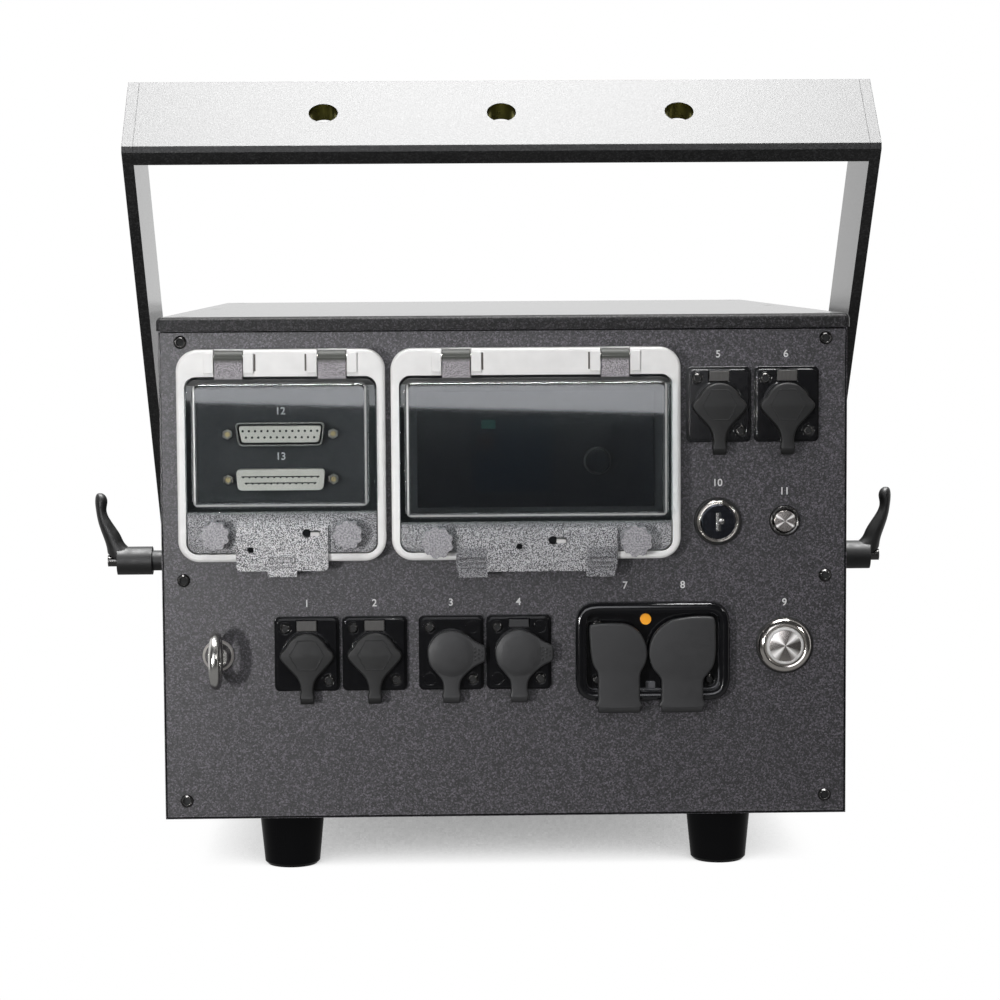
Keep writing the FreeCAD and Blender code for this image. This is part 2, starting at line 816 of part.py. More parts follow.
def make_front_panel():
    edge = rectangle(across("panel_width"), ("deck", "roof"))
    opening = rectangle(across("beam_width + 2 * pane_border"),
                        across("beam_tall + 2 * pane_border", "beam_z"))
    panel = plate("front_panel", "XZ_Plane", [edge, opening], "front_thickness", panel_screw_holes())
    node(place(panel, y="front"))


def make_lid_and_base():
    node(block("base_plate", across("panel_width"), ("rear", "front"), ("foot_height", "deck")))
    outline = rectangle(across("panel_width + 2 * lid_side_lip"), ("rear - lid_lip", "front + lid_lip"))
    blank = plate("lid_blank", "XY_Plane", [outline], "lid_thickness")
    rounded(blank, "lid_edge", straight_along("z"))
    rounded(blank, "lid_edge", lying_at("z", "lid_thickness"))
    place(blank, z="roof")
    uprights, along = screw_rows()
    drills = []
    for sign, side in SIDES:
        for count, y in enumerate(along):
            at = (f"{sign} * screw_x", y)
            drills.append(rod(f"{side}_lid_hole_{count}", "screw_shank / 2 + screw_gap", "z",
                              ("roof - overrun", "lid_top + overrun"), at))
            drills.append(lid_sink(f"{side}_lid_sink_{count}", at, "screw_gap"))
    node(cut("top_cover", blank, *drills))


def make_feet():
    feet = []
    for sign, side in SIDES:
        for end, y in (("rear", "rear + foot_inset"), ("front", "front - foot_inset")):
            at = (f"{sign} * foot_spread / 2", y)
            toe = rod(f"{side}_{end}_toe", "foot_bottom / 2 - foot_edge", "z", ("0", "foot_edge"), at,
                      tip="foot_bottom / 2")
            shank = rod(f"{side}_{end}_shank", "foot_bottom / 2", "z", ("foot_edge", "foot_height"), at,
                        tip="foot_top / 2")
            feet.append(join(f"{side}_{end}_foot", toe, shank))
    node(group("rubber_feet", *feet))


# Yoke and clamps

def on_yoke(piece):
    """Lean a piece that was drawn on an upright yoke, with the pivot at its origin."""
    return place(piece, y="pivot_y", z="pivot_z", axis=Vector(1, 0, 0), angle="yoke_tilt")


def bar_screw_holes(name, head, shank, reach):
    """The two screws at one end of the bar, or the holes they go in."""
    pieces = []
    for count, row in enumerate(("-bar_screw_pitch / 2", "bar_screw_pitch / 2")):
        at = (row, "yoke_reach - bar_thickness / 2")
        outside, seat = "arm_out", "arm_out - bar_screw_sink"
        if reach:
            outside = f"{outside} + {reach}"
        pieces.append(rod(f"{name}_head_{count}", head, "x", (seat, outside), at))
        pieces.append(rod(f"{name}_shank_{count}", shank, "x", (f"{seat} - bar_screw_length", seat), at))
    return pieces


def make_yoke():
    half = "yoke_width / 2"
    shoulder = "yoke_reach - yoke_chamfer"
    flat = f"{half} - yoke_chamfer"
    profile = [(f"-{half}", "yoke_reach - bar_thickness"), (half, "yoke_reach - bar_thickness"),
               (half, shoulder), (flat, "yoke_reach"), (f"-({flat})", "yoke_reach"), (f"-{half}", shoulder)]
    blade = [(f"-{half}", "0"), (half, "0"), (half, shoulder), (flat, "yoke_reach"),
             (f"-({flat})", "yoke_reach"), (f"-{half}", shoulder)]
    wide, slim = "bar_screw_head / 2 + screw_gap", "bar_screw / 2 + screw_gap"
    right_drills = bar_screw_holes("bar_drill", wide, slim, "overrun")
    left_drills = [mirrored(tool.Name + "_left", tool) for tool in right_drills]

    bar = place(plate("bar_blank", "YZ_Plane", [profile], "2 * arm_in"), x="-arm_in")
    holes = [rod(f"bar_hole_{count}", "bar_hole / 2", "z",
                 ("yoke_reach - bar_thickness - overrun", "yoke_reach + overrun"),
                 (f"{count} * bar_hole_pitch", "0")) for count in (-1, 0, 1)]
    node(on_yoke(cut("yoke_bar", bar, *holes, *right_drills, *left_drills)))

    strip = place(plate("arm_blade", "YZ_Plane", [blade], "arm_thickness"), x="arm_in")
    eye = rod("arm_eye", half, "x", ("arm_in", "arm_out"))
    bore = rod("arm_bore", "stud_size / 2 + running_fit", "x", ("arm_in - overrun", "arm_out + overrun"))
    upright = cut("arm_upright", join("arm_blank", strip, eye), bore, *right_drills)
    node(on_yoke(group("right_yoke_arm", upright)))
    node(on_yoke(group("left_yoke_arm", mirrored("arm_upright_left", upright))))

    pieces = bar_screw_holes("bar_screw", "bar_screw_head / 2", "bar_screw / 2", "")
    right_screws = [join(f"right_bar_screw_{count}", pieces[2 * count], pieces[2 * count + 1])
                    for count in range(2)]
    left_screws = [mirrored(f"left_bar_screw_{count}", piece) for count, piece in enumerate(right_screws)]
    node(on_yoke(group("yoke_screws", *right_screws, *left_screws)))


def make_pivots():
    """Spacers that keep the arms off the housing, and the studs that the arms turn on."""
    at = ("pivot_y", "pivot_z")
    ring = rod("spacer_ring", "spacer_size / 2", "x", ("half_width", "half_width + spacer_length"), at)
    hole = rod("spacer_hole", "stud_size / 2 + running_fit", "x",
               ("half_width - overrun", "half_width + spacer_length + overrun"), at)
    right_spacer = cut("right_spacer", ring, hole)
    node(group("pivot_spacers", right_spacer, mirrored("left_spacer", right_spacer)))

    inside = "half_width - side_thickness"
    nut = hexagon("stud_nut_blank", "stud_nut / cos(30)", "x", (f"{inside} - stud_nut_height", inside), at)
    shaft = rod("stud_shaft", "stud_size / 2", "x", (f"{inside} - stud_nut_height", "hub_out"), at)
    tip = rod("stud_tip_blank", "stud_tip / 2", "x", ("hub_out", "hub_out + stud_tip_length"), at)
    right_stud = join("right_stud", nut, shaft, tip)
    node(group("clamp_studs", right_stud, mirrored("left_stud", right_stud)))


# The handle's sections, from its root in the hub to its tip: how far out it leans and how far up it
# stands, then its width and its depth, as shares of the lever's own sizes.
HANDLE_SHARES = (
    (-0.28, 0.02, 0.88, 0.90),
    (-0.10, 0.16, 0.94, 1.00),
    (0.24, 0.36, 0.66, 0.94),
    (0.55, 0.57, 0.50, 0.86),
    (0.72, 0.76, 0.39, 0.80),
    (0.71, 0.89, 0.45, 0.82),
    (0.74, 0.97, 0.33, 0.62),
    (0.77, 1.00, 0.12, 0.22),
)


def make_levers():
    """Clamp levers: a hub on a collar, and a handle lofted through ellipses."""
    sections = []
    for count, (lean, rise, width, depth) in enumerate(HANDLE_SHARES):
        oval = doc.addObject("Part::Ellipse", f"handle_section_{count}")
        across_out = f"lever_root * {width} / 2"
        across_deep = f"lever_depth * {depth} / 2"
        if width * SIZES["lever_root"] >= depth * SIZES["lever_depth"]:
            bind(oval, MajorRadius=across_out, MinorRadius=across_deep)
        else:
            bind(oval, MajorRadius=across_deep, MinorRadius=across_out)
            oval.Placement = Placement(Vector(), Rotation(Vector(0, 0, 1), 90))
        place(oval, f"hub_out + lever_lean * {lean}", "pivot_y", f"pivot_z + lever_height * {rise}")
        sections.append(oval)
    handle = doc.addObject("Part::Loft", "lever_handle")
    handle.Sections = sections
    handle.Solid = True
    at = ("pivot_y", "pivot_z")
    collar = rod("lever_collar_blank", "lever_collar / 2", "x", ("collar_in", "hub_in"), at)
    hub = rod("lever_hub_blank", "lever_hub / 2", "x", ("hub_in", "hub_out"), at)
    bore = rod("lever_bore", "stud_size / 2 + running_fit", "x",
               ("collar_in - overrun", "hub_out + lever_lean"), at)
    right = cut("right_clamp_lever", join("lever_blank", collar, hub, handle), bore)
    node(right)
    node(mirrored("left_clamp_lever", right))


# Hinged windows

def window_lugs(kind):
    return [(side, f"{kind}_x + {sign} * {kind}_lug_spread / 2") for sign, side in SIDES]


def window_knobs(kind):
    return [(side, f"{kind}_x + {sign} * {kind}_knob_spread / 2") for sign, side in SIDES]


def make_window_frame(kind):
    """A moulded frame with a deep top band, notched for the cover's two hinge lugs between knuckles."""
    middle = "deck + frame_low + frame_height / 2"
    outer = rounded_plate(f"{kind}_frame_blank", f"{kind}_width", "frame_height", "frame_depth",
                          "frame_corner", f"{kind}_x", "rear", middle)
    rounded(outer, "box_edge", lying_at("y", "-frame_depth"))
    inner = rounded_plate(f"{kind}_frame_opening", f"{kind}_width - 2 * frame_side",
                          "frame_height - frame_band - frame_foot", "frame_depth + 2 * overrun",
                          "frame_inner_corner", f"{kind}_x", "rear + overrun",
                          "(opening_low + opening_high) / 2")
    tools, knuckles = [inner], []
    for side, x in window_lugs(kind):
        for sign, end in SIDES:
            beside = f"{x} + {sign} * ((lug_width + knuckle_width) / 2 + lug_gap)"
            knuckles.append(block(f"{kind}_{side}_{end}_knuckle", across("knuckle_width", beside),
                                  ("frame_front - knuckle_proud", "hinge_y"),
                                  ("opening_high + knuckle_margin", "hinge_z + hinge_drop - knuckle_margin")))
        tools.append(block(f"{kind}_{side}_notch", across("lug_width + 2 * lug_gap", x),
                           ("frame_front - overrun", "hinge_y + lug_radius + lug_gap"),
                           ("opening_high - overrun", "hinge_z + hinge_drop + overrun")))
        tools.append(rod(f"{kind}_{side}_pin_hole", "hinge_pin / 2 + running_fit", "x",
                         across("lug_width + 2 * lug_gap + 2 * pin_grip", x), ("hinge_y", "hinge_z")))
    node(cut(f"{kind}_window_frame", join(f"{kind}_frame_body", outer, *knuckles), *tools))


def make_hinge_pins():
    pins = [rod(f"{kind}_{side}_pin", "hinge_pin / 2", "x",
                across("lug_width + 2 * lug_gap + 2 * pin_grip", x), ("hinge_y", "hinge_z"))
            for kind in ("small", "large") for side, x in window_lugs(kind)]
    node(group("window_hinge_pins", *pins))


def window_grips(kind):
    """Where a cover's tab is pulled: the small one in its middle, the large one near both ends."""
    if kind == "small":
        return ["small_x"]
    return [f"large_x + {sign} * (large_tab_width / 2 - large_grip_inset)" for sign, side in SIDES]


def tab_grips(kind, tab_low):
    """A lip under the tab at each grip, and the ribs above it that the thumb pulls on."""
    pieces = []
    for column, x in enumerate(window_grips(kind)):
        pieces.append(block(f"{kind}_lip_{column}", across("lip_width", x), ("tab_front", "tab_back"),
                            (f"{tab_low} - lip_height", f"{tab_low} + tab_corner")))
        pieces += [rod(f"{kind}_rib_{column}_{row}", "grip_rib / 2", "x", across("grip_width", x),
                       ("tab_front", f"{tab_low} + {row} * grip_pitch")) for row in (1, 2, 3)]
    return pieces


def tab_holes(kind):
    """The holes that a seal's wire goes through: a round one, and one with a slot beside it."""
    depth = ("tab_front - overrun", "cover_back + overrun")
    key_x, key_z = f"{kind}_x + {kind}_key_out", f"opening_low + {kind}_key_lift"
    return [
        rod(f"{kind}_tab_dot", "tab_dot / 2", "y", depth,
            (f"{kind}_x - {kind}_dot_out", f"opening_low + {kind}_dot_lift")),
        rod(f"{kind}_tab_key", "tab_key / 2", "y", depth, (key_x, key_z)),
        block(f"{kind}_tab_key_slot", (key_x, f"{key_x} + tab_key_length"), depth,
              across("tab_key_slot", key_z)),
    ]


def make_window_cover(kind):
    """A clear cover: a flat plate with a raised box, hinge lugs on top and a pull tab below."""
    leaf = rounded_plate(f"{kind}_leaf", f"{kind}_width - 2 * frame_side - 2 * cover_gap",
                         "cover_high - cover_low", "cover_thickness", "frame_inner_corner",
                         f"{kind}_x", "cover_back", "(cover_low + cover_high) / 2")
    box_low = f"deck + {kind}_box_low"
    box = rounded_plate(f"{kind}_box", f"{kind}_box_width", f"box_high - ({box_low})",
                        "box_reach - frame_depth + cover_thickness", "box_corner",
                        f"{kind}_x", "cover_back", f"(box_high + {box_low}) / 2")
    rounded(box, "box_edge", lying_at("y", "frame_depth - cover_thickness - box_reach"))
    tab_low = f"deck + {kind}_tab_low"
    boss = block(f"{kind}_tab_boss", across(f"{kind}_tab_width", f"{kind}_x"), ("tab_front", "cover_back"),
                 ("cover_low", f"{tab_low} + tab_height"))
    skirt = rounded_plate(f"{kind}_tab_skirt", f"{kind}_tab_width", "tab_height", "tab_thickness", "tab_corner",
                          f"{kind}_x", "tab_back", f"{tab_low} + tab_height / 2")
    solids = [leaf, box, boss, skirt, *tab_grips(kind, tab_low)]
    tools = [block(f"{kind}_box_hollow", across(f"{kind}_box_width - 2 * box_wall", f"{kind}_x"),
                   ("rear - box_reach + box_wall", "cover_back + overrun"),
                   (f"{box_low} + box_wall", "box_high - box_wall")), *tab_holes(kind)]
    for side, x in window_lugs(kind):
        solids.append(block(f"{kind}_{side}_lug", across("lug_width", x), ("frame_front", "cover_back"),
                            ("cover_high", "hinge_z")))
        solids.append(rod(f"{kind}_{side}_knuckle", "lug_radius", "x", across("lug_width", x),
                          ("hinge_y", "hinge_z")))
        tools.append(rod(f"{kind}_{side}_lug_bore", "hinge_pin / 2 + running_fit", "x",
                         across("lug_width + 2 * overrun", x), ("hinge_y", "hinge_z")))
    for side, x in window_knobs(kind):
        tools.append(rod(f"{kind}_{side}_knob_hole", "knob_stem / 2 + turning_gap", "y",
                         ("frame_front - overrun", "cover_back + overrun"), (x, f"deck + {kind}_knob_height")))
    node(cut(f"{kind}_window_cover", join(f"{kind}_cover_blank", *solids), *tools))


def make_cover_knobs(kind, scallops=9):
    """Scalloped quarter-turn knobs, each kept in the cover by a disc on its stem."""
    turn = 360 / scallops
    for side, x in window_knobs(kind):
        name = f"{kind}_{side}_knob"
        z = f"deck + {kind}_knob_height"
        at = (x, z)
        ring = f"({kind}_knob_size / 2 + knob_scallop_out)"
        crown = rod(name + "_crown", f"{kind}_knob_size / 2", "y", ("knob_front", "knob_back"), at)
        scoops = [rod(f"{name}_scoop_{count}", "knob_scallop", "y",
                      ("knob_front - overrun", "knob_back + overrun"),
                      (f"{x} + {ring} * cos({turn * count})", f"{z} + {ring} * sin({turn * count})"))
                  for count in range(scallops)]
        stem = rod(name + "_stem", "knob_stem / 2", "y", ("knob_back", "cover_back + turning_gap"), at)
        keeper = rod(name + "_keeper", "knob_keeper / 2", "y",
                     ("cover_back + turning_gap", "cover_back + turning_gap + knob_keeper_length"), at)
        node(join(name, cut(name + "_grip", crown, *scoops), stem, keeper))


# What stands behind the windows

def shell_outline(rim):
    """The tapered outline of a signal connector's shell, drawn in by a rim."""
    half, lift = f"shell_width / 2 - {rim}", f"shell_height / 2 - {rim}"
    return [(f"-({half} - shell_slant)", f"-({lift})"), (f"{half} - shell_slant", f"-({lift})"),
            (half, lift), (f"-({half})", lift)]


def make_signal_connectors():
    connectors = []
    for level in ("signal_upper", "signal_lower"):
        shell = plate(level + "_shell", "XZ_Plane", [shell_outline("0")], "shell_reach + rear_thickness")
        rounded(shell, "shell_corner", straight_along("y"))
        recess = plate(level + "_recess", "XZ_Plane", [shell_outline("shell_rim")], "shell_recess + overrun")
        place(shell, y="rear_thickness")
        place(recess, y="-shell_reach + shell_recess")
        base = block(level + "_base", across("shell_base_width"),
                     ("rear_thickness", "rear_thickness + shell_base_depth"), across("shell_base_height"))
        solids = [shell, base]
        for sign, side in SIDES:
            at = (f"{sign} * jack_spread / 2", "0")
            solids.append(rod(f"{level}_{side}_shank", "jack_shank / 2", "y", ("0", "rear_thickness"), at))
            solids.append(hexagon(f"{level}_{side}_jack", "jack_hex / cos(30)", "y", ("-jack_reach", "0"), at))
        connector = cut(level + "_connector", join(level + "_blank", *solids), recess)
        connectors.append(place(connector, "signal_x", "rear", f"deck + {level}"))
    node(group("signal_connectors", *connectors))


def make_control_unit():
    x, z = "large_x", "deck + unit_z"
    face = block("unit_face", across("unit_width", x), ("rear - unit_plate", "rear"), across("unit_height", z))
    body = block("unit_body", across("unit_width - 2 * unit_body_margin", x), ("rear", "rear + unit_depth"),
                 across("unit_height - 2 * unit_body_margin", z))
    display = block("unit_display", across("display_width", "display_x"),
                    ("rear - unit_plate - overrun", "rear - unit_plate + display_sink"),
                    across("display_height", "deck + display_z"))
    at = ("dial_x", "deck + dial_z")
    bore = rod("unit_dial_bore", "dial_shaft / 2 + running_fit", "y",
               ("rear - unit_plate - overrun", "rear - unit_plate + dial_shaft_length + overrun"), at)
    node(cut("control_unit", join("unit_blank", face, body), display, bore))
    back = "rear - unit_plate - turning_gap"
    grip = rod("dial_grip", "dial_size / 2", "y", (f"{back} - dial_length", back), at)
    shaft = rod("dial_shaft_rod", "dial_shaft / 2", "y", (back, "rear - unit_plate + dial_shaft_length"), at)
    node(join("control_knob", grip, shaft))


# Sockets and caps

def panel_socket(name, family, x, z, locks):
    """A round socket on a square flange over a gasket, open at the front for its plug."""
    gasket = rounded_plate(name + "_gasket", "gasket_width", "gasket_height", "gasket_depth", "gasket_corner")
    flange = rounded_plate(name + "_flange", "flange_plate_width", "flange_plate_height", "flange_plate_depth",
                           "flange_plate_corner", y="-gasket_depth")
    collar = rod(name + "_collar", "socket_collar / 2", "y",
                 ("-flange_front - socket_collar_proud", "-gasket_depth"))
    barrel = rod(name + "_barrel", "socket_body / 2", "y", ("-gasket_depth", "socket_depth"))
    tools = [rod(name + "_bore", "socket_bore / 2", "y",
                 ("-flange_front - socket_collar_proud - overrun", "socket_bore_depth - flange_front"))]
    if locks:
        low, high = f"{family}_cap / 2 + latch_gap", "latch_high"
        tools.append(block(name + "_slot", across("latch_width + 2 * slide_gap"),
                           ("-flange_front - socket_collar_proud - overrun", "0"),
                           (f"{low} - slide_gap", f"{high} + slide_gap")))
        node(block(name + "_latch", across("latch_width", x),
                   ("rear - flange_front - latch_proud", "rear - latch_back"),
                   (f"{z} + {low}", f"{z} + {high}")))
    tongue = strap_tongue(name, f"{family}_strap", "cap_front",
                          "gasket_height / 2 - gasket_corner", "strap_drop")
    blank = join(name + "_socket_blank", gasket, flange, collar, barrel, tongue)
    return place(cut(name + "_socket", blank, *tools), x, "rear", z)


def strap_tongue(name, width, front, edge, drop, x="0"):
    """The tongue under a socket's edge that a cap's strap is carried by."""
    return block(name + "_tongue", across(width, x), (f"-({front} - 2 * strap_bend - slide_gap)", "0"),
                 (f"-({drop})", f"-({edge})"))


def flap(name, radius, back, thickness, plug, plug_length, width, drop, ears):
    """A sealing cap: a disc with a plug, hung on a strap with a round bend at its end."""
    front = f"({back} + {thickness})"
    disc = rod(name + "_disc", radius, "y", (f"-{front}", f"-({back})"))
    stopper = rod(name + "_stopper", plug, "y", (f"-({back})", f"-({back}) + {plug_length}"))
    strap = block(name + "_strap", across(width), (f"-{front}", f"-{front} + strap_thickness"),
                  (f"-({drop})", "0"))
    bend = rod(name + "_bend", "strap_bend", "x", across(width), (f"-{front} + strap_bend", f"-({drop})"))
    return join(name + "_blank", disc, stopper, strap, bend, ears)


def pull_ear(size):
    """One ear to the right, whose edges leave the cap's disc at a steep angle."""
    root = f"({size} / 2 - cap_ear_sink)"
    out, up = f"{root} * cos(grip_ear_angle)", f"{root} * sin(grip_ear_angle)"
    return [(out, f"-{up}"), ("grip_ear_reach", "-grip_ear_tip / 2"), ("grip_ear_reach", "grip_ear_tip / 2"),
            (out, up), ("0", "0")]


def shield(size, strap):
    """Ears on both sides that run down into the strap."""
    shoulder = f"({size} / 2 - cap_ear_sink) * cos(45)"
    return [("-cap_ear_width / 2", "-cap_ear_height / 2"), (f"-{strap} / 2", "-cap_taper"),
            (f"{strap} / 2", "-cap_taper"), ("cap_ear_width / 2", "-cap_ear_height / 2"),
            ("cap_ear_width / 2", "cap_ear_height / 2"), (shoulder, shoulder),
            (f"-({shoulder})", shoulder), ("-cap_ear_width / 2", "cap_ear_height / 2")]


def make_socket_cap(name, family, x, z):
    label, size, strap = name + "_cap", f"{family}_cap", f"{family}_strap"
    outline = pull_ear(size) if family == "dmx" else shield(size, strap)
    ears = place(plate(label + "_ears", "XZ_Plane", [outline], "cap_thickness"), y="-cap_back")
    blank = flap(label, f"{size} / 2", "cap_back", "cap_thickness", "socket_bore / 2 - cap_slack",
                 "cap_plug_length", strap, "strap_drop", ears)
    depth = ("-cap_front - overrun", "-cap_front + cap_hex_sink")
    line = cut(label + "_line", hexagon(label + "_line_outer", "cap_hex", "y", depth),
               hexagon(label + "_line_inner", "cap_hex - 2 * cap_hex_line", "y", depth))
    node(place(cut(label, blank, line), x, "rear", z))


def make_sockets():
    sockets = {}
    for name, x, z, locks in socket_places():
        family = name.split("_")[0]
        sockets.setdefault(family, []).append(panel_socket(name, family, x, z, locks))
        make_socket_cap(name, family, x, z)
    for family, pieces in sockets.items():
        node(group(f"{family}_sockets", *pieces))


def make_power_sockets():
    rim = rounded_plate("power_rim_blank", "power_width", "power_height", "power_rim", "power_corner")
    rounded(rim, "box_edge", lying_at("y", "-power_rim"))
    well = rounded_plate("power_well", "power_width - 2 * power_border", "power_height - 2 * power_border",
                         "power_rim - power_floor + overrun", "power_inner_corner", y="-power_floor")
    body = block("power_body_block", across("power_width - 2 * power_body_margin"), ("0", "power_depth"),
                 across("power_height - 2 * power_body_margin"))
    tools = [well]
    for end in ("inlet", "outlet"):
        tools.append(rod(f"power_{end}_bore", f"{end}_bore / 2", "y",
                         ("-power_rim - overrun", "power_bore_depth"), (f"{end}_x", "0")))
    lamp_at = ("lamp_x", "lamp_z")
    tools.append(rod("power_lamp_hole", "lamp_size / 2 + running_fit", "y",
                     ("-power_rim", "lamp_sink - power_floor"), lamp_at))
    tongues = [strap_tongue(f"power_{end}", "power_strap_width", "power_cap_front",
                            "power_height / 2 - power_border", "power_strap_drop", f"{end}_x")
               for end in ("inlet", "outlet")]
    blank = join("power_blank", rim, body, *tongues)
    node(place(cut("power_sockets", blank, *tools), "power_x", "rear", "deck + socket_row"))
    for sign, end in ((-1, "inlet"), (1, "outlet")):
        make_power_cap(f"power_{end}_cap", end, sign)
    node(rod("power_indicator", "lamp_size / 2", "y",
             ("rear - power_floor - lamp_proud", "rear - power_floor + lamp_sink"),
             ("power_x + lamp_x", "deck + socket_row + lamp_z")))


def make_power_cap(label, end, sign):
    """A round cap with one squared corner to lift it by, on a broad strap."""
    radius, root = f"{end}_cap / 2", f"({end}_cap / 2 - cap_ear_sink)"
    outline = [("0", "0"), (f"{sign} * {root}", "0"), (f"{sign} * {end}_corner_out", f"{end}_corner_up"),
               ("0", root)]
    ears = place(plate(label + "_ears", "XZ_Plane", [outline], "power_cap_thickness"), y="-power_cap_back")
    blank = flap(label, radius, "power_cap_back", "power_cap_thickness", f"{end}_bore / 2 - cap_slack",
                 "power_plug_length", "power_strap_width", "power_strap_drop", ears)
    node(place(blank, f"power_x + {end}_x", "rear", "deck + socket_row"), label)


# Switches

def switch_housing(name, ring, ring_face, ring_depth, body, depth, well, well_depth, at):
    bezel = rod(name + "_bezel", f"{ring_face} / 2", "y", (f"rear - {ring_depth}", "rear"), at,
                tip=f"{ring} / 2")
    barrel = rod(name + "_body", f"{body} / 2", "y", ("rear", f"rear + {depth}"), at)
    hollow = rod(name + "_well", well, "y", (f"rear - {ring_depth} - overrun", f"rear + {well_depth}"), at)
    return cut(name + "_housing", join(name + "_blank", bezel, barrel), hollow)


def push_button(name, face, ring_depth, at):
    front = f"rear - {ring_depth} - button_proud"
    return node(rod(name, f"{face} / 2", "y", (front, f"{front} + button_length"), at))


def make_switches():
    key_at = ("key_x", "deck + switch_row")
    safety_at = ("safety_x", "deck + switch_row")
    power_at = ("power_button_x", "deck + power_button_z")
    node(group(
        "switch_housings",
        switch_housing("key", "key_ring", "(key_ring - key_ring_depth)", "key_ring_depth", "key_body",
                       "key_depth", "key_barrel_size / 2 + running_fit", "key_barrel_length", key_at),
        switch_housing("safety", "safety_ring", "(safety_ring - safety_ring_depth / 2)", "safety_ring_depth",
                       "safety_body", "button_depth", "safety_face / 2 + slide_gap", "button_well", safety_at),
        switch_housing("power", "power_ring", "power_ring_face", "power_ring_depth", "power_body",
                       "button_depth", "power_face / 2 + slide_gap", "button_well", power_at)))
    front = "rear - key_ring_depth - key_barrel_proud"
    barrel = rod("key_barrel_blank", "key_barrel_size / 2", "y", (front, "rear + key_barrel_length"), key_at)
    keyway = block("keyway", across("keyway_width", "key_x"), (f"{front} - overrun", f"{front} + keyway_depth"),
                   across("keyway_height", "deck + switch_row"))
    node(cut("key_barrel", barrel, keyway))
    push_button("safety_button", "safety_face", "safety_ring_depth", safety_at)
    push_button("power_button", "power_face", "power_ring_depth", power_at)


def make_safety_eye():
    ring = bind(doc.addObject("Part::Torus", "eye_ring"), Radius1="eye_bore / 2 + eye_wire / 2",
                Radius2="eye_wire / 2")
    ring.Placement = Placement(Vector(), LIE_ALONG["x"])
    place(ring, "eye_x", "rear - eye_out", "deck + eye_z")
    at = ("eye_x", "deck + eye_z")
    collar = rod("eye_collar_blank", "eye_neck / 2", "y", ("rear - eye_collar_length", "rear"), at,
                 tip="eye_collar / 2")
    shank = rod("eye_shank_rod", "eye_shank / 2", "y", ("rear", "rear + eye_shank_length"), at)
    node(join("safety_eye", ring, collar, shank))


# Beam window and optics

def make_beam_window():
    node(block("aperture_window", across("beam_width + 2 * pane_border - 2 * slide_gap"),
               ("front - front_thickness", "front"),
               across("beam_tall + 2 * pane_border - 2 * slide_gap", "beam_z")))
    outer = rounded_plate("bezel_blank", "bezel_width", "bezel_tall", "bezel_depth", "bezel_corner",
                          y="front + bezel_depth", z="beam_z")
    inner = rounded_plate("bezel_opening", "beam_width", "beam_tall", "bezel_depth + 2 * overrun",
                          "bezel_inner_corner", y="front + bezel_depth + overrun", z="beam_z")
    solids = [cut("bezel_ring", outer, inner)]
    for sign, side in SIDES:
        at = (f"{sign} * post_x", "beam_z")
        solids.append(rod(side + "_thumb_post", "thumb_post / 2", "y",
                          ("front + bezel_depth", "front + window_reach"), at))
        solids.append(rod(side + "_thumb_head", "thumb_size / 2", "y",
                          ("front + mask_front + slide_gap", "front + window_reach"), at))
    node(join("aperture_bezel", *solids))

    half, low = "bezel_width / 2 - mask_margin", "beam_z - bezel_tall / 2 + mask_margin"
    inside, top = f"{half} - mask_arm", "beam_z + mask_rise"
    edge = [(f"-({half})", low), (half, low), (half, top), (inside, top), (inside, f"{low} + mask_bar"),
            (f"-({inside})", f"{low} + mask_bar"), (f"-({inside})", top), (f"-({half})", top)]
    slots = [rectangle(across("thumb_post + 2 * slide_gap", f"{sign} * post_x"),
                       ("beam_z - mask_travel - thumb_post / 2 - slide_gap",
                        "beam_z + thumb_post / 2 + slide_gap"))
             for sign, side in SIDES]
    node(place(plate("aperture_mask", "XZ_Plane", [edge, *slots], "mask_thickness"), y="front + mask_front"))


def make_optics():
    node(block("optical_bench", across("bench_width"),
               ("rear + bench_rear_gap", "front - front_thickness - bench_front_gap"), ("deck", "bench_top")))
    modules, mirrors = [], []
    for count in range(MODULES):
        middle = f"scanner_back - module_row * ({count} + 1 / 2)"
        modules.append(block(f"laser_module_{count}", across("module_width", "module_x"),
                             across("module_length", middle), ("bench_top", "bench_top + module_height")))
        mirror = block(f"combiner_mirror_{count}", across("combiner_width"), across("combiner_thickness"),
                       ("0", "combiner_height"))
        mirrors.append(place(group(f"combiner_{count}", mirror), "0", middle, "bench_top",
                             Vector(0, 0, 1), "combiner_turn"))
    node(group("laser_modules", *modules))
    node(group("beam_combiner", *mirrors))


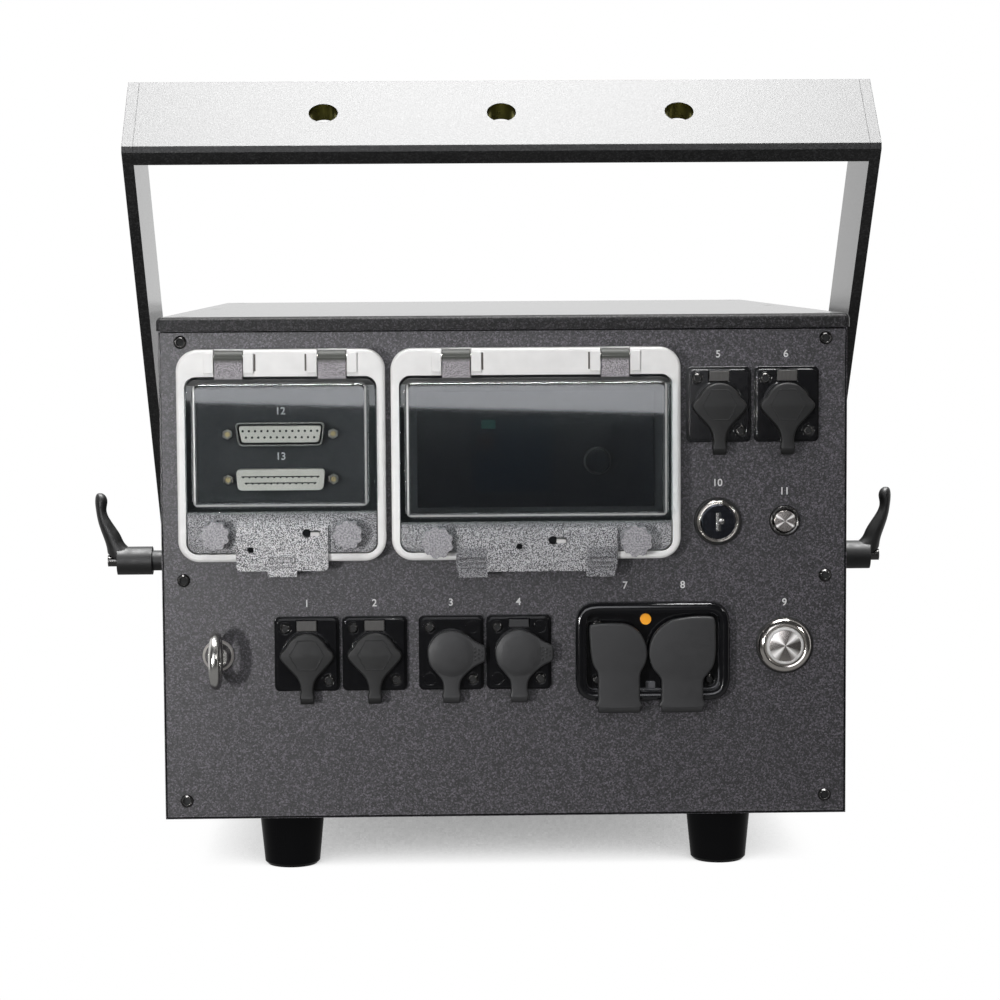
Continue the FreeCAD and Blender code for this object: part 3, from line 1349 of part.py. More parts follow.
def make_scanner():
    """Two scan motors in one block: one mirror turns about an upright shaft, one about a level one."""
    tower = block("scanner_tower", across("scanner_width"), ("scanner_back", "scanner_front"),
                  ("bench_top", "scanner_top"))
    wall = block("scanner_wall", ("scanner_width / 2 - motor_wall", "scanner_width / 2"),
                 ("scanner_back", "scanner_front"), ("scanner_top", "beam_z + motor_rise"))
    first_y, second_y = across("scan_gap", "(scanner_back + scanner_front) / 2")
    bore = "scan_shaft / 2 + running_fit"
    upright_bore = rod("scanner_upright_bore", bore, "z",
                       ("scanner_top - scan_seat - turning_gap", "scanner_top + overrun"), ("0", first_y))
    level_bore = rod("scanner_level_bore", bore, "x",
                     ("scanner_width / 2 - motor_wall - overrun",
                      "scanner_width / 2 - motor_wall + scan_seat + turning_gap"), (second_y, "beam_z"))
    node(cut("scanner_block", join("scanner_blank", tower, wall), upright_bore, level_bore))

    shaft = rod("x_scan_shaft", "scan_shaft / 2", "z", ("scanner_top - scan_seat", "beam_z"), ("0", first_y))
    glass = block("x_scan_glass", across("scan_mirror_width"), across("scan_mirror_thickness", first_y),
                  ("beam_z - scan_mirror_height / 2", "beam_z + scan_mirror_height / 2"))
    node(join("x_scan_mirror", shaft, glass))
    shaft = rod("y_scan_shaft", "scan_shaft / 2", "x", ("0", "scanner_width / 2 - motor_wall + scan_seat"),
                (second_y, "beam_z"))
    glass = block("y_scan_glass", across("scan_mirror_height"), across("scan_mirror_thickness", second_y),
                  across("scan_mirror_width", "beam_z"))
    node(join("y_scan_mirror", shaft, glass))


def make_supply():
    case_y = ("supply_rear", "supply_rear + supply_length")
    top = "bench_top + supply_height"
    case = block("supply_case", across("supply_width", "supply_x"), case_y, ("bench_top", top))
    middle = "supply_rear + supply_length / 2"
    board = block("driver_board", across("board_width", "supply_x"), across("board_length", middle),
                  (f"{top} + board_post_height", f"{top} + board_post_height + board_thickness"))
    posts = [rod(f"{side}_board_post_{count}", "board_post / 2", "z", (top, f"{top} + board_post_height"),
                 (f"supply_x + {sign} * (board_width / 2 - board_post_inset)",
                  f"{middle} + {end} * (board_length / 2 - board_post_inset)"))
             for sign, side in SIDES for count, end in enumerate((-1, 1))]
    node(join("power_supply", case, *posts, board))


def save():
    """Check every object and every node's solids, and write one file for each node."""
    doc.removeObject(gauge.Name)
    doc.recompute()
    broken = [item.Label for item in doc.Objects if {"Invalid", "Error"} & set(item.State)]
    if broken:
        raise RuntimeError(f"objects that failed: {broken}")
    os.makedirs("parts", exist_ok=True)
    for name, piece in nodes.items():
        shape = piece.Shape
        if shape.isNull() or not shape.isValid() or not shape.Solids:
            raise RuntimeError(f"{name} has no valid solid")
        shape.exportStep(os.path.join("parts", name + ".step"))
    print(f"{len(nodes)} nodes, {sum(len(piece.Shape.Solids) for piece in nodes.values())} solids")


make_lid_and_base()
make_side_panels()
make_rear_panel()
make_front_panel()
make_housing_screws()
make_feet()
make_yoke()
make_pivots()
make_levers()
for window in ("small", "large"):
    make_window_frame(window)
    make_window_cover(window)
    make_cover_knobs(window)
make_hinge_pins()
make_signal_connectors()
make_control_unit()
make_sockets()
make_power_sockets()
make_switches()
make_safety_eye()
make_beam_window()
make_optics()
make_scanner()
make_supply()
save()
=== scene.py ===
# %% [markdown]
# # Laser show projector
# A sealed black housing hangs in a tilting yoke, and its rear panel carries sockets, switches and two
# hinged clear windows. The packed CAD model is the fixed frame: it gives every place and size in metres.
# This lesson dresses it with finishes, and adds the small moulded and turned pieces that the solids leave
# plain.

# %% Load the packed frame
import json
import math

import bmesh
import bpy
from mathutils import Matrix, Vector
from mathutils.geometry import tessellate_polygon


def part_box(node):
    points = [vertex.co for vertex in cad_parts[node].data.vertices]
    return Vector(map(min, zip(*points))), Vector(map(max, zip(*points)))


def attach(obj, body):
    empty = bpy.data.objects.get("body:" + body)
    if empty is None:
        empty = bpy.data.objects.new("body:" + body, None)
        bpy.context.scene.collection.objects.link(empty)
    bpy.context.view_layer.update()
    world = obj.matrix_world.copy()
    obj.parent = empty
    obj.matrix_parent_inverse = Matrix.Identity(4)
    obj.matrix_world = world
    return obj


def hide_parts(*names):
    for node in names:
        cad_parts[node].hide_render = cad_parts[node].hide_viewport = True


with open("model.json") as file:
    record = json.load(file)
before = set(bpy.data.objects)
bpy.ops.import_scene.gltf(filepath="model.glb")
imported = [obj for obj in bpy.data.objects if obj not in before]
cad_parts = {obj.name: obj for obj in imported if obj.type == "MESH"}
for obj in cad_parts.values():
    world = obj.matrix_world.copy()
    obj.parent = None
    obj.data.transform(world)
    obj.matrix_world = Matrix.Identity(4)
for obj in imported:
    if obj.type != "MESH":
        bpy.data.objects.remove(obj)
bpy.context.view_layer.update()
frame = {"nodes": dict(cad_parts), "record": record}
nodes = frame["nodes"]
MM = 0.001

# %% [markdown]
# ## Camera
# The photograph was taken a little above the panel's middle and almost square to it. A camera could be
# aimed by hand until the picture looks right. Here its place, its turns and its lens were fitted to the
# housing's corners, the yoke and the feet, because a fit is true to a pixel or two. They are written as
# they came out.

# %% Place the camera
EYE_MM = (-33.11, -1475.94, 276.01)
YAW, PITCH, ROLL = 0.0244, 0.0845, -0.0062
LENS_MM, SENSOR_MM = 102.26, 36


def look_matrix(place_mm, yaw, pitch, roll):
    """A camera's matrix from its place and its three turns, with level ground as the start."""
    ahead = Vector((math.sin(yaw) * math.cos(pitch), math.cos(yaw) * math.cos(pitch), -math.sin(pitch)))
    level = Vector((math.cos(yaw), -math.sin(yaw), 0))
    upward = level.cross(ahead)
    right = level * math.cos(roll) + upward * math.sin(roll)
    top = upward * math.cos(roll) - level * math.sin(roll)
    turn = Matrix((right, top, -ahead)).transposed().to_4x4()
    return Matrix.Translation(Vector(place_mm) * MM) @ turn


def add(name, data):
    """A new object in the scene, from a mesh, a light, a camera or a text."""
    made = bpy.data.objects.new(name, data)
    bpy.context.scene.collection.objects.link(made)
    return made


lens = bpy.data.cameras.new("camera")
lens.lens, lens.sensor_width = LENS_MM, SENSOR_MM
camera = add("camera", lens)
camera.matrix_world = look_matrix(EYE_MM, YAW, PITCH, ROLL)
bpy.context.scene.camera = camera
print("camera stands", round(camera.location.length, 3), "m from the part's foot")

# %% [markdown]
# ## Node trees
# The sweep, the floor and every finish are trees of shader nodes. They could be joined by hand in the
# shader editor. In a script each node takes several lines that hide what the tree does, so one small
# class makes a node, fills its sockets and gives back its output.

# %% Node helpers


class Nodes:
    """A node tree under construction."""

    def __init__(self, owner, keep=False):
        owner.use_nodes = True
        self.tree = owner.node_tree
        if not keep:
            self.tree.nodes.clear()

    def plug(self, socket, value):
        """Give a socket a number, or the output of another node."""
        if hasattr(value, "is_output"):
            self.tree.links.new(value, socket)
        else:
            socket.default_value = value

    def node(self, kind, **inputs):
        """A new node, with its named inputs filled."""
        made = self.tree.nodes.new("ShaderNode" + kind)
        for socket, value in inputs.items():
            self.plug(made.inputs[socket.replace("_", " ")], value)
        return made

    def reckon(self, operation, *values):
        """The result of a sum, a product or another operation."""
        made = self.tree.nodes.new("ShaderNodeMath")
        made.operation = operation
        for socket, value in zip(made.inputs, values):
            self.plug(socket, value)
        return made.outputs[0]

    def ramp(self, value, low, high, start, end, soft=False):
        """Map a range of values to another, straight or in a soft curve."""
        made = self.node("MapRange", Value=value, From_Min=low, From_Max=high, To_Min=start, To_Max=end)
        if soft:
            made.interpolation_type = "SMOOTHSTEP"
        return made.outputs["Result"]

    def choose(self, share, no, yes):
        """One number where a share is 0, and another where it is 1."""
        return self.node("Mix", Factor=share, A=no, B=yes).outputs["Result"]


print("helpers:", [name for name in vars(Nodes) if not name.startswith("_")])

# %% [markdown]
# ## White sweep
# Behind the projector a white sweep has no horizon. A lit backdrop could give it, but its white would
# change with the lamps. Here the world is plain white for the camera, for metal and for glass. Behind the
# camera the room is dim, so that the black panel stays black, and matte surfaces only get a little fill.

# %% Paint the sweep
FILL, DIM_ROOM = 0.11, (-0.25, 0.1, 0.05, 1.0)
bpy.context.scene.view_settings.view_transform = "Standard"


def white_sweep(world):
    """White for the camera, a room that dims towards the camera's back, and soft fill light."""
    sky = Nodes(world)
    ray = sky.node("LightPath").outputs
    aim = sky.node("SeparateXYZ", Vector=sky.node("TexCoord").outputs["Generated"])
    room = sky.choose(ray["Diffuse Depth"], sky.ramp(aim.outputs["Y"], *DIM_ROOM, soft=True), FILL)
    level = sky.choose(ray["Is Glossy Ray"], FILL, room)
    level = sky.choose(ray["Is Transmission Ray"], level, room)
    level = sky.choose(ray["Is Camera Ray"], level, 1.0)
    shade = sky.node("Background", Color=(1, 1, 1, 1), Strength=level)
    sky.node("OutputWorld", Surface=shade.outputs[0])


bpy.context.scene.world = bpy.data.worlds.new("studio")
white_sweep(bpy.context.scene.world)
print("the sweep has", len(bpy.context.scene.world.node_tree.nodes), "nodes and a fill of", FILL)

# %% [markdown]
# ## Lamps
# In the photograph a big softbox overhead whitens the yoke's bar, a front softbox shows as a pale band in
# the windows, and two narrow lights draw the eye's shadow and the streaks on the feet. One strong lamp
# overhead could do most of it, but it would bleach the white plastic. So the two softboxes are only
# reflected, and two even lights bring matte surfaces to a plain level.

# %% Hang the lamps


def softbox(name, place, target, size, radiance, roll=0.0, matte=True, mirrored=True):
    """A flat lamp of a given brightness, turned to a target and rolled by some degrees."""
    light = bpy.data.lights.new(name, "AREA")
    light.shape, (light.size, light.size_y) = "RECTANGLE", size
    light.energy = radiance * math.pi * size[0] * size[1]
    lamp = add(name, light)
    lamp.location = place
    turn = (Vector(target) - Vector(place)).to_track_quat("-Z", "Y").to_matrix()
    lamp.rotation_euler = (turn @ Matrix.Rotation(math.radians(roll), 3, "Z")).to_euler()
    lamp.visible_camera = False
    lamp.visible_diffuse = matte
    lamp.visible_glossy = lamp.visible_transmission = mirrored
    return lamp


softbox("overhead_softbox", (0, -0.1, 1.55), (0, -0.13, 0), (1.0, 0.95), 34, matte=False)
softbox("high_even_light", (-0.35, -1.2, 1.35), (0, -0.2, 0.15), (0.9, 0.9), 3.0, mirrored=False)
softbox("top_even_light", (0, -0.1, 1.5), (0, -0.13, 0), (1.0, 0.95), 2.6, mirrored=False)
front = softbox("front_softbox", (-0.27, -1.85, 0.634), (-0.27, -0.2, 0.634), (0.99, 1.0), 3.4, -1.7,
                matte=False)
front.data.color = (0.95, 0.96, 1.0)
softbox("left_strip", (-0.58, -1.25, 0.16), (-0.1, -0.2, 0.1), (0.05, 0.15), 270)
softbox("right_strip", (0.95, -1.15, 0.6), (0.1, -0.2, 0.15), (0.1, 0.22), 30)
print(len(bpy.data.lights), "lamps")

# %% [markdown]
# ## Floor
# The floor is a white round patch under the projector. It could be a plane that catches the lamps'
# shadows, but then a rim would show where it ends. Here it glows evenly and fades to clear, so it runs
# into the sweep. The nearer the housing stands above it, the darker it is, which is the soft shadow that
# light from all sides leaves.

# %% Lay the floor
FLOOR_HALF_M, FADE_M = 0.7, (0.38, 0.62)
SHADOW_REACH_M, SHADOW_POWER, SHADOW_RANGE = 0.25, 0.25, (0.3, 0.72, 0.25, 1.0)
BOUNCE = 0.3


def floor_finish():
    """White for the camera and dimmer for bounced light, dark near the housing and clear at the edge."""
    finish = bpy.data.materials.new("pale_floor")
    pale = Nodes(finish)
    reach = pale.node("VectorMath")
    reach.operation = "LENGTH"
    pale.plug(reach.inputs[0], pale.node("TexCoord").outputs["Object"])
    fade = pale.ramp(reach.outputs["Value"], *FADE_M, 0, 1, soft=True)
    near = pale.node("AmbientOcclusion", Distance=SHADOW_REACH_M).outputs["AO"]
    shadow = pale.ramp(pale.reckon("POWER", near, SHADOW_POWER), *SHADOW_RANGE)
    bounce = pale.choose(pale.node("LightPath").outputs["Is Camera Ray"], BOUNCE, 1.0)
    glow = pale.node("Emission", Strength=pale.reckon("MULTIPLY", shadow, bounce))
    mix = pale.node("MixShader", Fac=fade)
    pale.plug(mix.inputs[1], glow.outputs[0])
    pale.plug(mix.inputs[2], pale.node("BsdfTransparent").outputs[0])
    pale.node("OutputMaterial", Surface=mix.outputs[0])
    return finish


flat = bpy.data.meshes.new("floor")
corners = ((-1, -1), (1, -1), (1, 1), (-1, 1))
flat.from_pydata([(x * FLOOR_HALF_M, y * FLOOR_HALF_M, 0) for x, y in corners], [], [range(4)])
flat.materials.append(floor_finish())
floor = add("floor", flat)
print("floor is", 2 * FLOOR_HALF_M, "m wide")

# %% [markdown]
# ## How a finish is written
# Each finish is one Principled shader with a few textures in front of it. The textures could follow
# unwrapped faces, but here they read object coordinates, which are the part's own metres, so a grain of
# half a millimetre has that size everywhere. A bevel node eases every edge in the shading, because no
# real edge is quite sharp.

# %% Finish helpers


class Finish(Nodes):
    """A material under construction: a Principled shader and the nodes that feed it."""

    def __init__(self, name, colour, roughness, metallic=0.0, **sockets):
        self.material = bpy.data.materials.new(name)
        super().__init__(self.material, keep=True)
        self.shader = self.tree.nodes["Principled BSDF"]
        sockets.update(Base_Color=(*colour, 1), Roughness=roughness, Metallic=metallic)
        for socket, value in sockets.items():
            self.shader.inputs[socket.replace("_", " ")].default_value = value

    def feed(self, socket, output):
        """Let another node drive one of the shader's sockets."""
        self.tree.links.new(output, self.shader.inputs[socket])

    def place(self):
        """The place on the part, in metres."""
        return self.node("TexCoord").outputs["Object"]

    def along(self, axis):
        """One coordinate of the place, in metres."""
        return self.node("SeparateXYZ", Vector=self.place()).outputs[axis]

    def noise(self, size_mm, detail=2.0, roughness=0.5, stretch=(1, 1, 1)):
        """Noise whose grains have a given size; a stretch below 1 draws them out along that axis."""
        spread = self.node("VectorMath")
        spread.operation = "MULTIPLY"
        self.plug(spread.inputs[0], self.place())
        self.plug(spread.inputs[1], stretch)
        made = self.node("TexNoise", Vector=spread.outputs[0], Scale=1 / (size_mm * MM), Detail=detail,
                         Roughness=roughness)
        return made.outputs["Fac"]

    def grains(self, size_mm):
        """A random value for each grain of a given size."""
        cells = self.node("TexVoronoi", Vector=self.place(), Scale=1 / (size_mm * MM))
        return self.node("SeparateColor", Color=cells.outputs["Color"]).outputs["Red"]

    def blend(self, share, low, high):
        """A colour between two, by a share from 0 to 1. Either may come from other nodes."""
        made = self.node("Mix")
        made.data_type = "RGBA"
        self.tree.links.new(share, made.inputs["Factor"])
        for socket, value in (("A", low), ("B", high)):
            self.plug(made.inputs[socket], (*value, 1) if isinstance(value, tuple) else value)
        return made.outputs["Result"]

    def bump(self, height, depth_mm, strength=1.0, edge_mm=0.5):
        """Grain of a given depth, on a surface whose edges are eased by a small radius."""
        edge = self.node("Bevel", Radius=edge_mm * MM)
        made = self.node("Bump", Height=height, Distance=depth_mm * MM, Strength=strength,
                         Normal=edge.outputs["Normal"])
        self.feed("Normal", made.outputs["Normal"])


def dress(finish, *names):
    """Give a finish to CAD nodes whose shape is already right."""
    for name in names:
        for count in range(len(nodes[name].data.materials)):
            nodes[name].data.materials[count] = finish.material


print("finishes read places in metres, so a grain of 1 mm is a noise scale of", round(1 / MM))

# %% [markdown]
# ## Powder coat
# Textured black powder coat is baked-on paint with a fine orange-peel grain and pale flecks well under a
# millimetre wide. One noise could give both, but real flecks have hard borders, so cells give each fleck
# a shade and a noise lifts the grain as bump. Seen at a slant the grain hides behind itself and the coat
# turns glossy: the lid's top and the arms' inner faces are pale in the photograph.

# %% Coat the sheet metal
FLECK_MM, FLECK_POWER, PEEL_MM, PEEL_DEPTH_MM = 0.6, 2.6, 0.9, 0.1
SLANT, SLANT_ROUGHNESS, COAT_EDGE_MM = (0.6, 0.92), 0.14, 0.4


def powder_coat(name, dark, pale, gloss, roughness):
    """Dark paint with pale flecks, which turns glossy at a slant."""
    coat = Finish(name, dark, roughness, Specular_IOR_Level=gloss)
    coat.feed("Base Color", coat.blend(coat.reckon("POWER", coat.grains(FLECK_MM), FLECK_POWER), dark, pale))
    slant = coat.ramp(coat.node("LayerWeight", Blend=0.5).outputs["Facing"], *SLANT, 0, 1)
    coat.feed("Roughness", coat.ramp(slant, 0, 1, roughness, SLANT_ROUGHNESS))
    coat.bump(coat.noise(PEEL_MM), PEEL_DEPTH_MM, coat.ramp(slant, 0, 1, 0.9, 0.05), COAT_EDGE_MM)
    return coat


case_coat = powder_coat("case_coat", (0.004, 0.0038, 0.0045), (0.112, 0.101, 0.12), 0.66, 0.43)
# The lid's coat is the case's coat with darker flecks: painted shade that keeps the lid's front lip dark.
lid_shaded_coat = powder_coat("lid_shaded_coat", (0.002, 0.002, 0.002), (0.05, 0.047, 0.052), 0.25, 0.5)
yoke_coat = powder_coat("yoke_coat", (0.002, 0.002, 0.002), (0.03, 0.03, 0.031), 0.395, 0.495)
dress(case_coat, "base_plate", "side_panels", "rear_panel", "front_panel", "aperture_bezel", "aperture_mask")
dress(lid_shaded_coat, "top_cover")
dress(yoke_coat, "yoke_bar", "left_yoke_arm", "right_yoke_arm", "pivot_spacers")
print("coated with", [coat.material.name for coat in (case_coat, lid_shaded_coat, yoke_coat)])

# %% [markdown]
# ## Rubber and plastics
# Most other pieces are moulded. A flat colour would do for a sketch, but what tells rubber from plastic
# is the gloss and a faint unevenness, so each finish gets its own roughness range, a slight mottle and a
# small bump. Push tabs are brushed along their height.

# %% Moulded finishes
MOTTLE_MM, GLOSS_MM, STROKE_MM, STROKE_STRETCH = 9, 3, 0.5, (1, 1, 0.12)


def moulded(name, colour, roughness, grain_mm, depth_mm, **sockets):
    """A moulded finish: even colour with a slight mottle, and a fine grain."""
    made = Finish(name, colour, roughness, **sockets)
    low, high = tuple(0.9 * c for c in colour), tuple(min(1, 1.1 * c) for c in colour)
    made.feed("Base Color", made.blend(made.noise(MOTTLE_MM), low, high))
    made.feed("Roughness", made.ramp(made.noise(GLOSS_MM), 0.3, 0.7, roughness * 0.85, roughness * 1.15))
    made.bump(made.noise(grain_mm), depth_mm, 0.5)
    return made


def brushed(name, colour, roughness):
    """A finish with fine upright strokes."""
    made = Finish(name, colour, roughness)
    stroke = made.noise(STROKE_MM, 3.0, 0.6, STROKE_STRETCH)
    low, high = tuple(0.6 * c for c in colour), tuple(1.4 * c for c in colour)
    made.feed("Base Color", made.blend(stroke, low, high))
    made.bump(stroke, 0.04, 0.6)
    return made


foot_rubber_and_edge_shade = moulded("foot_rubber_and_edge_shade", (0.003, 0.003, 0.0035), 0.12, 0.8, 0.004, Specular_IOR_Level=0.1)
cap_rubber = moulded("cap_rubber", (0.01, 0.01, 0.01), 0.5, 0.6, 0.03, Specular_IOR_Level=0.35)
soft_rubber = moulded("soft_rubber", (0.024, 0.024, 0.025), 0.48, 0.6, 0.04, Specular_IOR_Level=0.4)
socket_plastic = moulded("socket_plastic", (0.005, 0.005, 0.006), 0.13, 0.9, 0.01)
lever_plastic = moulded("lever_plastic", (0.009, 0.009, 0.009), 0.5, 0.4, 0.03)
latch_grey = brushed("latch_grey", (0.06, 0.057, 0.054), 0.35)
latch_black = brushed("latch_black", (0.016, 0.016, 0.017), 0.4)
frame_plastic = moulded("frame_plastic", (0.86, 0.85, 0.84), 0.42, 0.6, 0.02)
unit_plastic = moulded("unit_plastic", (0.008, 0.009, 0.011), 0.12, 0.9, 0.01)
display_glass = moulded("display_glass", (0.006, 0.009, 0.013), 0.1, 6.0, 0.001)
# The liners are painted shade for the panel inside the window frames.
shade_liners = {"small": moulded("small_shade_liner", (0.016, 0.017, 0.02), 0.6, 2.5, 0.01),
          "large": moulded("large_shade_liner", (0.008, 0.009, 0.012), 0.6, 2.5, 0.01)}
slit_shade = moulded("slit_shade", (0.1, 0.085, 0.075), 0.5, 0.8, 0.01)
cream = moulded("cream_plastic", (0.74, 0.68, 0.62), 0.45, 0.7, 0.02)
highlight_line_and_tab_grey = moulded("highlight_line_and_tab_grey", (0.12, 0.12, 0.13), 0.2, 0.8, 0.01)
pale_ring = moulded("pale_ring", (0.62, 0.61, 0.6), 0.4, 0.8, 0.01)
# Near black, for black parts and as painted shade in holes, sockets, slots and grooves.
hollow = moulded("hollow", (0.004, 0.004, 0.004), 0.7, 0.6, 0.02)
amber = moulded("amber_lens", (0.9, 0.38, 0.03), 0.2, 1.0, 0.01, Emission_Color=(1, 0.4, 0.03, 1),
                Emission_Strength=0.25)
print(len(bpy.data.materials), "finishes so far")

# %% [markdown]
# ## Metals, glass and knobs
# Fasteners are zinc or blackened steel, switches are chromed, and the bench and mirrors inside are
# anodised or silvered. The same mould helper makes them, since a metal differs only in its metallic
# socket and its gloss. The cover knobs are pebbled, so a coarser noise gives them both shade and bump.

# %% Metal, glass and knob finishes
zinc = moulded("zinc_steel", (0.56, 0.55, 0.53), 0.22, 0.6, 0.01, metallic=1.0)
dark_steel = moulded("dark_steel", (0.09, 0.088, 0.086), 0.25, 0.6, 0.01, metallic=1.0)
chrome = moulded("bright_chrome", (0.56, 0.53, 0.5), 0.14, 0.8, 0.004, metallic=1.0)
dark_chrome = moulded("dark_chrome", (0.14, 0.15, 0.18), 0.1, 0.8, 0.004, metallic=1.0)
brass = moulded("brass", (0.6, 0.47, 0.24), 0.25, 0.6, 0.01, metallic=1.0)
yellow_zinc = moulded("yellow_zinc", (0.2, 0.19, 0.05), 0.3, 0.8, 0.01, metallic=1.0)
anodised = moulded("anodised", (0.55, 0.56, 0.58), 0.35, 0.4, 0.01, metallic=1.0)
silvered = moulded("silvered", (0.88, 0.88, 0.88), 0.04, 4.0, 0.001, metallic=1.0)
pale_zinc = moulded("pale_zinc", (0.66, 0.63, 0.6), 0.42, 0.8, 0.02, metallic=0.45)
supply_grey = moulded("supply_grey", (0.45, 0.45, 0.45), 0.5, 0.6, 0.02)
beam_glass = moulded("beam_glass", (0.8, 0.86, 0.88), 0.02, 8.0, 0.002, Transmission_Weight=1.0, IOR=1.5)
PEBBLE_MM = 0.7
knob_plastic = Finish("knob_plastic", (0.4, 0.39, 0.41), 0.3)
pebbles = knob_plastic.ramp(knob_plastic.noise(PEBBLE_MM, 1.0), 0.36, 0.64, 0, 1)
knob_plastic.feed("Base Color", knob_plastic.blend(pebbles, (0.19, 0.185, 0.2), (0.42, 0.41, 0.43)))
knob_plastic.bump(knob_plastic.noise(PEBBLE_MM, 1.0), 0.25, 0.8)
print(len(bpy.data.materials), "finishes so far")

# %% [markdown]
# ## Zones of a window
# A cover is one clear moulding with several surfaces. The face of its box is polished, and its rim is a
# painted highlight, a pale line round the face. The walls behind the face, the upper one most, are painted
# dark as shade. The lower edge and the pull tab are pebbled, the hinge lugs are grey, and their bends are
# painted dark olive as shade. Each zone could be a material on its own faces, but the CAD mesh isn't cut
# along them, so the finish tells the zones apart by place.

# %% Tell the zones apart
LUG_FOOT_MM, BEND_FOOT_MM = 223.7, 230.5


class WindowPlastic(Finish):
    """Clear plastic that knows the zones of a cover, as shares from 0 to 1."""

    def __init__(self, name, low, high):
        super().__init__(name, (0.9, 0.92, 0.93), 0.02, IOR=1.5)
        self.side, depth, self.height = (self.along(axis) for axis in "XYZ")
        self.middle = (low.x + high.x) / 2
        self.face = self.fall(depth, low.y, 1.2, 1.3)
        reach = self.reckon("MINIMUM", self.reckon("SUBTRACT", self.side, low.x),
                            self.reckon("SUBTRACT", high.x, self.side))
        reach = self.reckon("MINIMUM", reach, self.reckon("SUBTRACT", self.height, low.z))
        # The rim share marks a painted highlight: a pale line round the box's face.
        self.rim = self.reckon("MULTIPLY", self.face, self.fall(self.apart(reach, 0.5 * MM), 0, 0.25, 0.6))
        # The upper wall behind the face is painted dark, as painted shade.
        self.ledge = self.reckon("MULTIPLY", self.rise(depth, low.y, 1.6, 2.0),
                                 self.rise(self.height, high.z, -1.0, -0.4))
        self.pebbled = self.fall(self.height, low.z, -4.5, -3)
        self.lug = self.rise(self.height, LUG_FOOT_MM * MM, 0, 0.3)
        # The lugs' bends are painted dark olive, as painted shade.
        self.smoke = self.rise(self.height, BEND_FOOT_MM * MM, 0, 2)

    def rise(self, value, base, start_mm, end_mm, most=1):
        """A share that rises from nothing between two distances from a base."""
        return self.ramp(value, base + start_mm * MM, base + end_mm * MM, 0, most)

    def fall(self, value, base, start_mm, end_mm, most=1):
        """A share that falls to nothing between two distances from a base."""
        return self.ramp(value, base + start_mm * MM, base + end_mm * MM, most, 0)

    def apart(self, value, middle):
        """How far a coordinate lies from a middle, to either side."""
        return self.reckon("ABSOLUTE", self.reckon("SUBTRACT", value, middle))

    def most(self, first, *others):
        """The greatest of some shares."""
        for other in others:
            first = self.reckon("MAXIMUM", first, other)
        return first


def box_face(kind):
    """The corners of the face of a cover's box, in metres."""
    points = [vertex.co for vertex in nodes[kind + "_window_cover"].data.vertices]
    front = min(point.y for point in points)
    face = [point for point in points if point.y < front + 0.3 * MM]
    return tuple(Vector([pick(point[k] for point in face) for k in range(3)]) for pick in (min, max))


for kind in ("small", "large"):
    print(kind, "box face spans", [[round(v / MM, 1) for v in corner] for corner in box_face(kind)])

# %% [markdown]
# ## Window plastic
# Now every zone gets its colour, its gloss and its share of clearness. The pebbled edge is darker just
# below the box, which is painted shade, and beside the tab, where the real one is thin and shows the dark
# panel. Glass casts a full shadow in Blender, so a share of the lamps' light is let straight through to
# light what is behind a window.

# %% Dress the covers
GRAIN_MM, GRAIN_DEPTH_MM, GRAIN_EDGE_MM = 0.42, 0.25, 0.6
TAB_HALF_MM, BOX_SHADE, END_DIM, LARGE_DIM, LARGE_END_DIM = (20, 23), 0.73, 0.55, 0.38, 0.75
# Colours of the zones: the rim colour is a painted highlight, and the wall, ledge and bend colours are
# painted shade.
SHADES = {"face": (0.9, 0.92, 0.94), "wall": (0.36, 0.39, 0.38), "rim": (0.55, 0.55, 0.54),
          "ledge": (0.02, 0.021, 0.02), "smoke": (0.03, 0.033, 0.024), "lug": (0.48, 0.45, 0.48),
          "lug_pit": (0.13, 0.122, 0.13), "pebble": (0.9, 0.89, 0.91), "dim_pebble": (0.2, 0.2, 0.22),
          "pebble_pit": (0.035, 0.035, 0.038)}


def pebble_shade_and_show_through(made, kind, low):
    """How much brightness the pebbled edge loses: painted shade below the box, and show-through beside the
    tab.
    """
    end = made.rise(made.apart(made.side, made.middle), 0, *TAB_HALF_MM)
    box_shade = made.rise(made.height, low.z, -9, -4, BOX_SHADE)
    if kind == "small":
        return made.most(box_shade, made.reckon("MULTIPLY", end, END_DIM))
    grip = made.fall(made.height, low.z, -15, -13, LARGE_END_DIM)
    return made.most(box_shade, LARGE_DIM, made.reckon("MULTIPLY", end, grip))


def let_light_in(made, share):
    """Let the lamps shine straight through a share of the plastic."""
    ray = made.node("LightPath").outputs["Is Shadow Ray"]
    clear = made.node("BsdfTransparent", Color=(0.85, 0.87, 0.88, 1))
    mix = made.node("MixShader", Fac=made.reckon("MULTIPLY", ray, share))
    made.plug(mix.inputs[1], made.shader.outputs[0])
    made.plug(mix.inputs[2], clear.outputs[0])
    made.plug(made.tree.nodes["Material Output"].inputs["Surface"], mix.outputs[0])


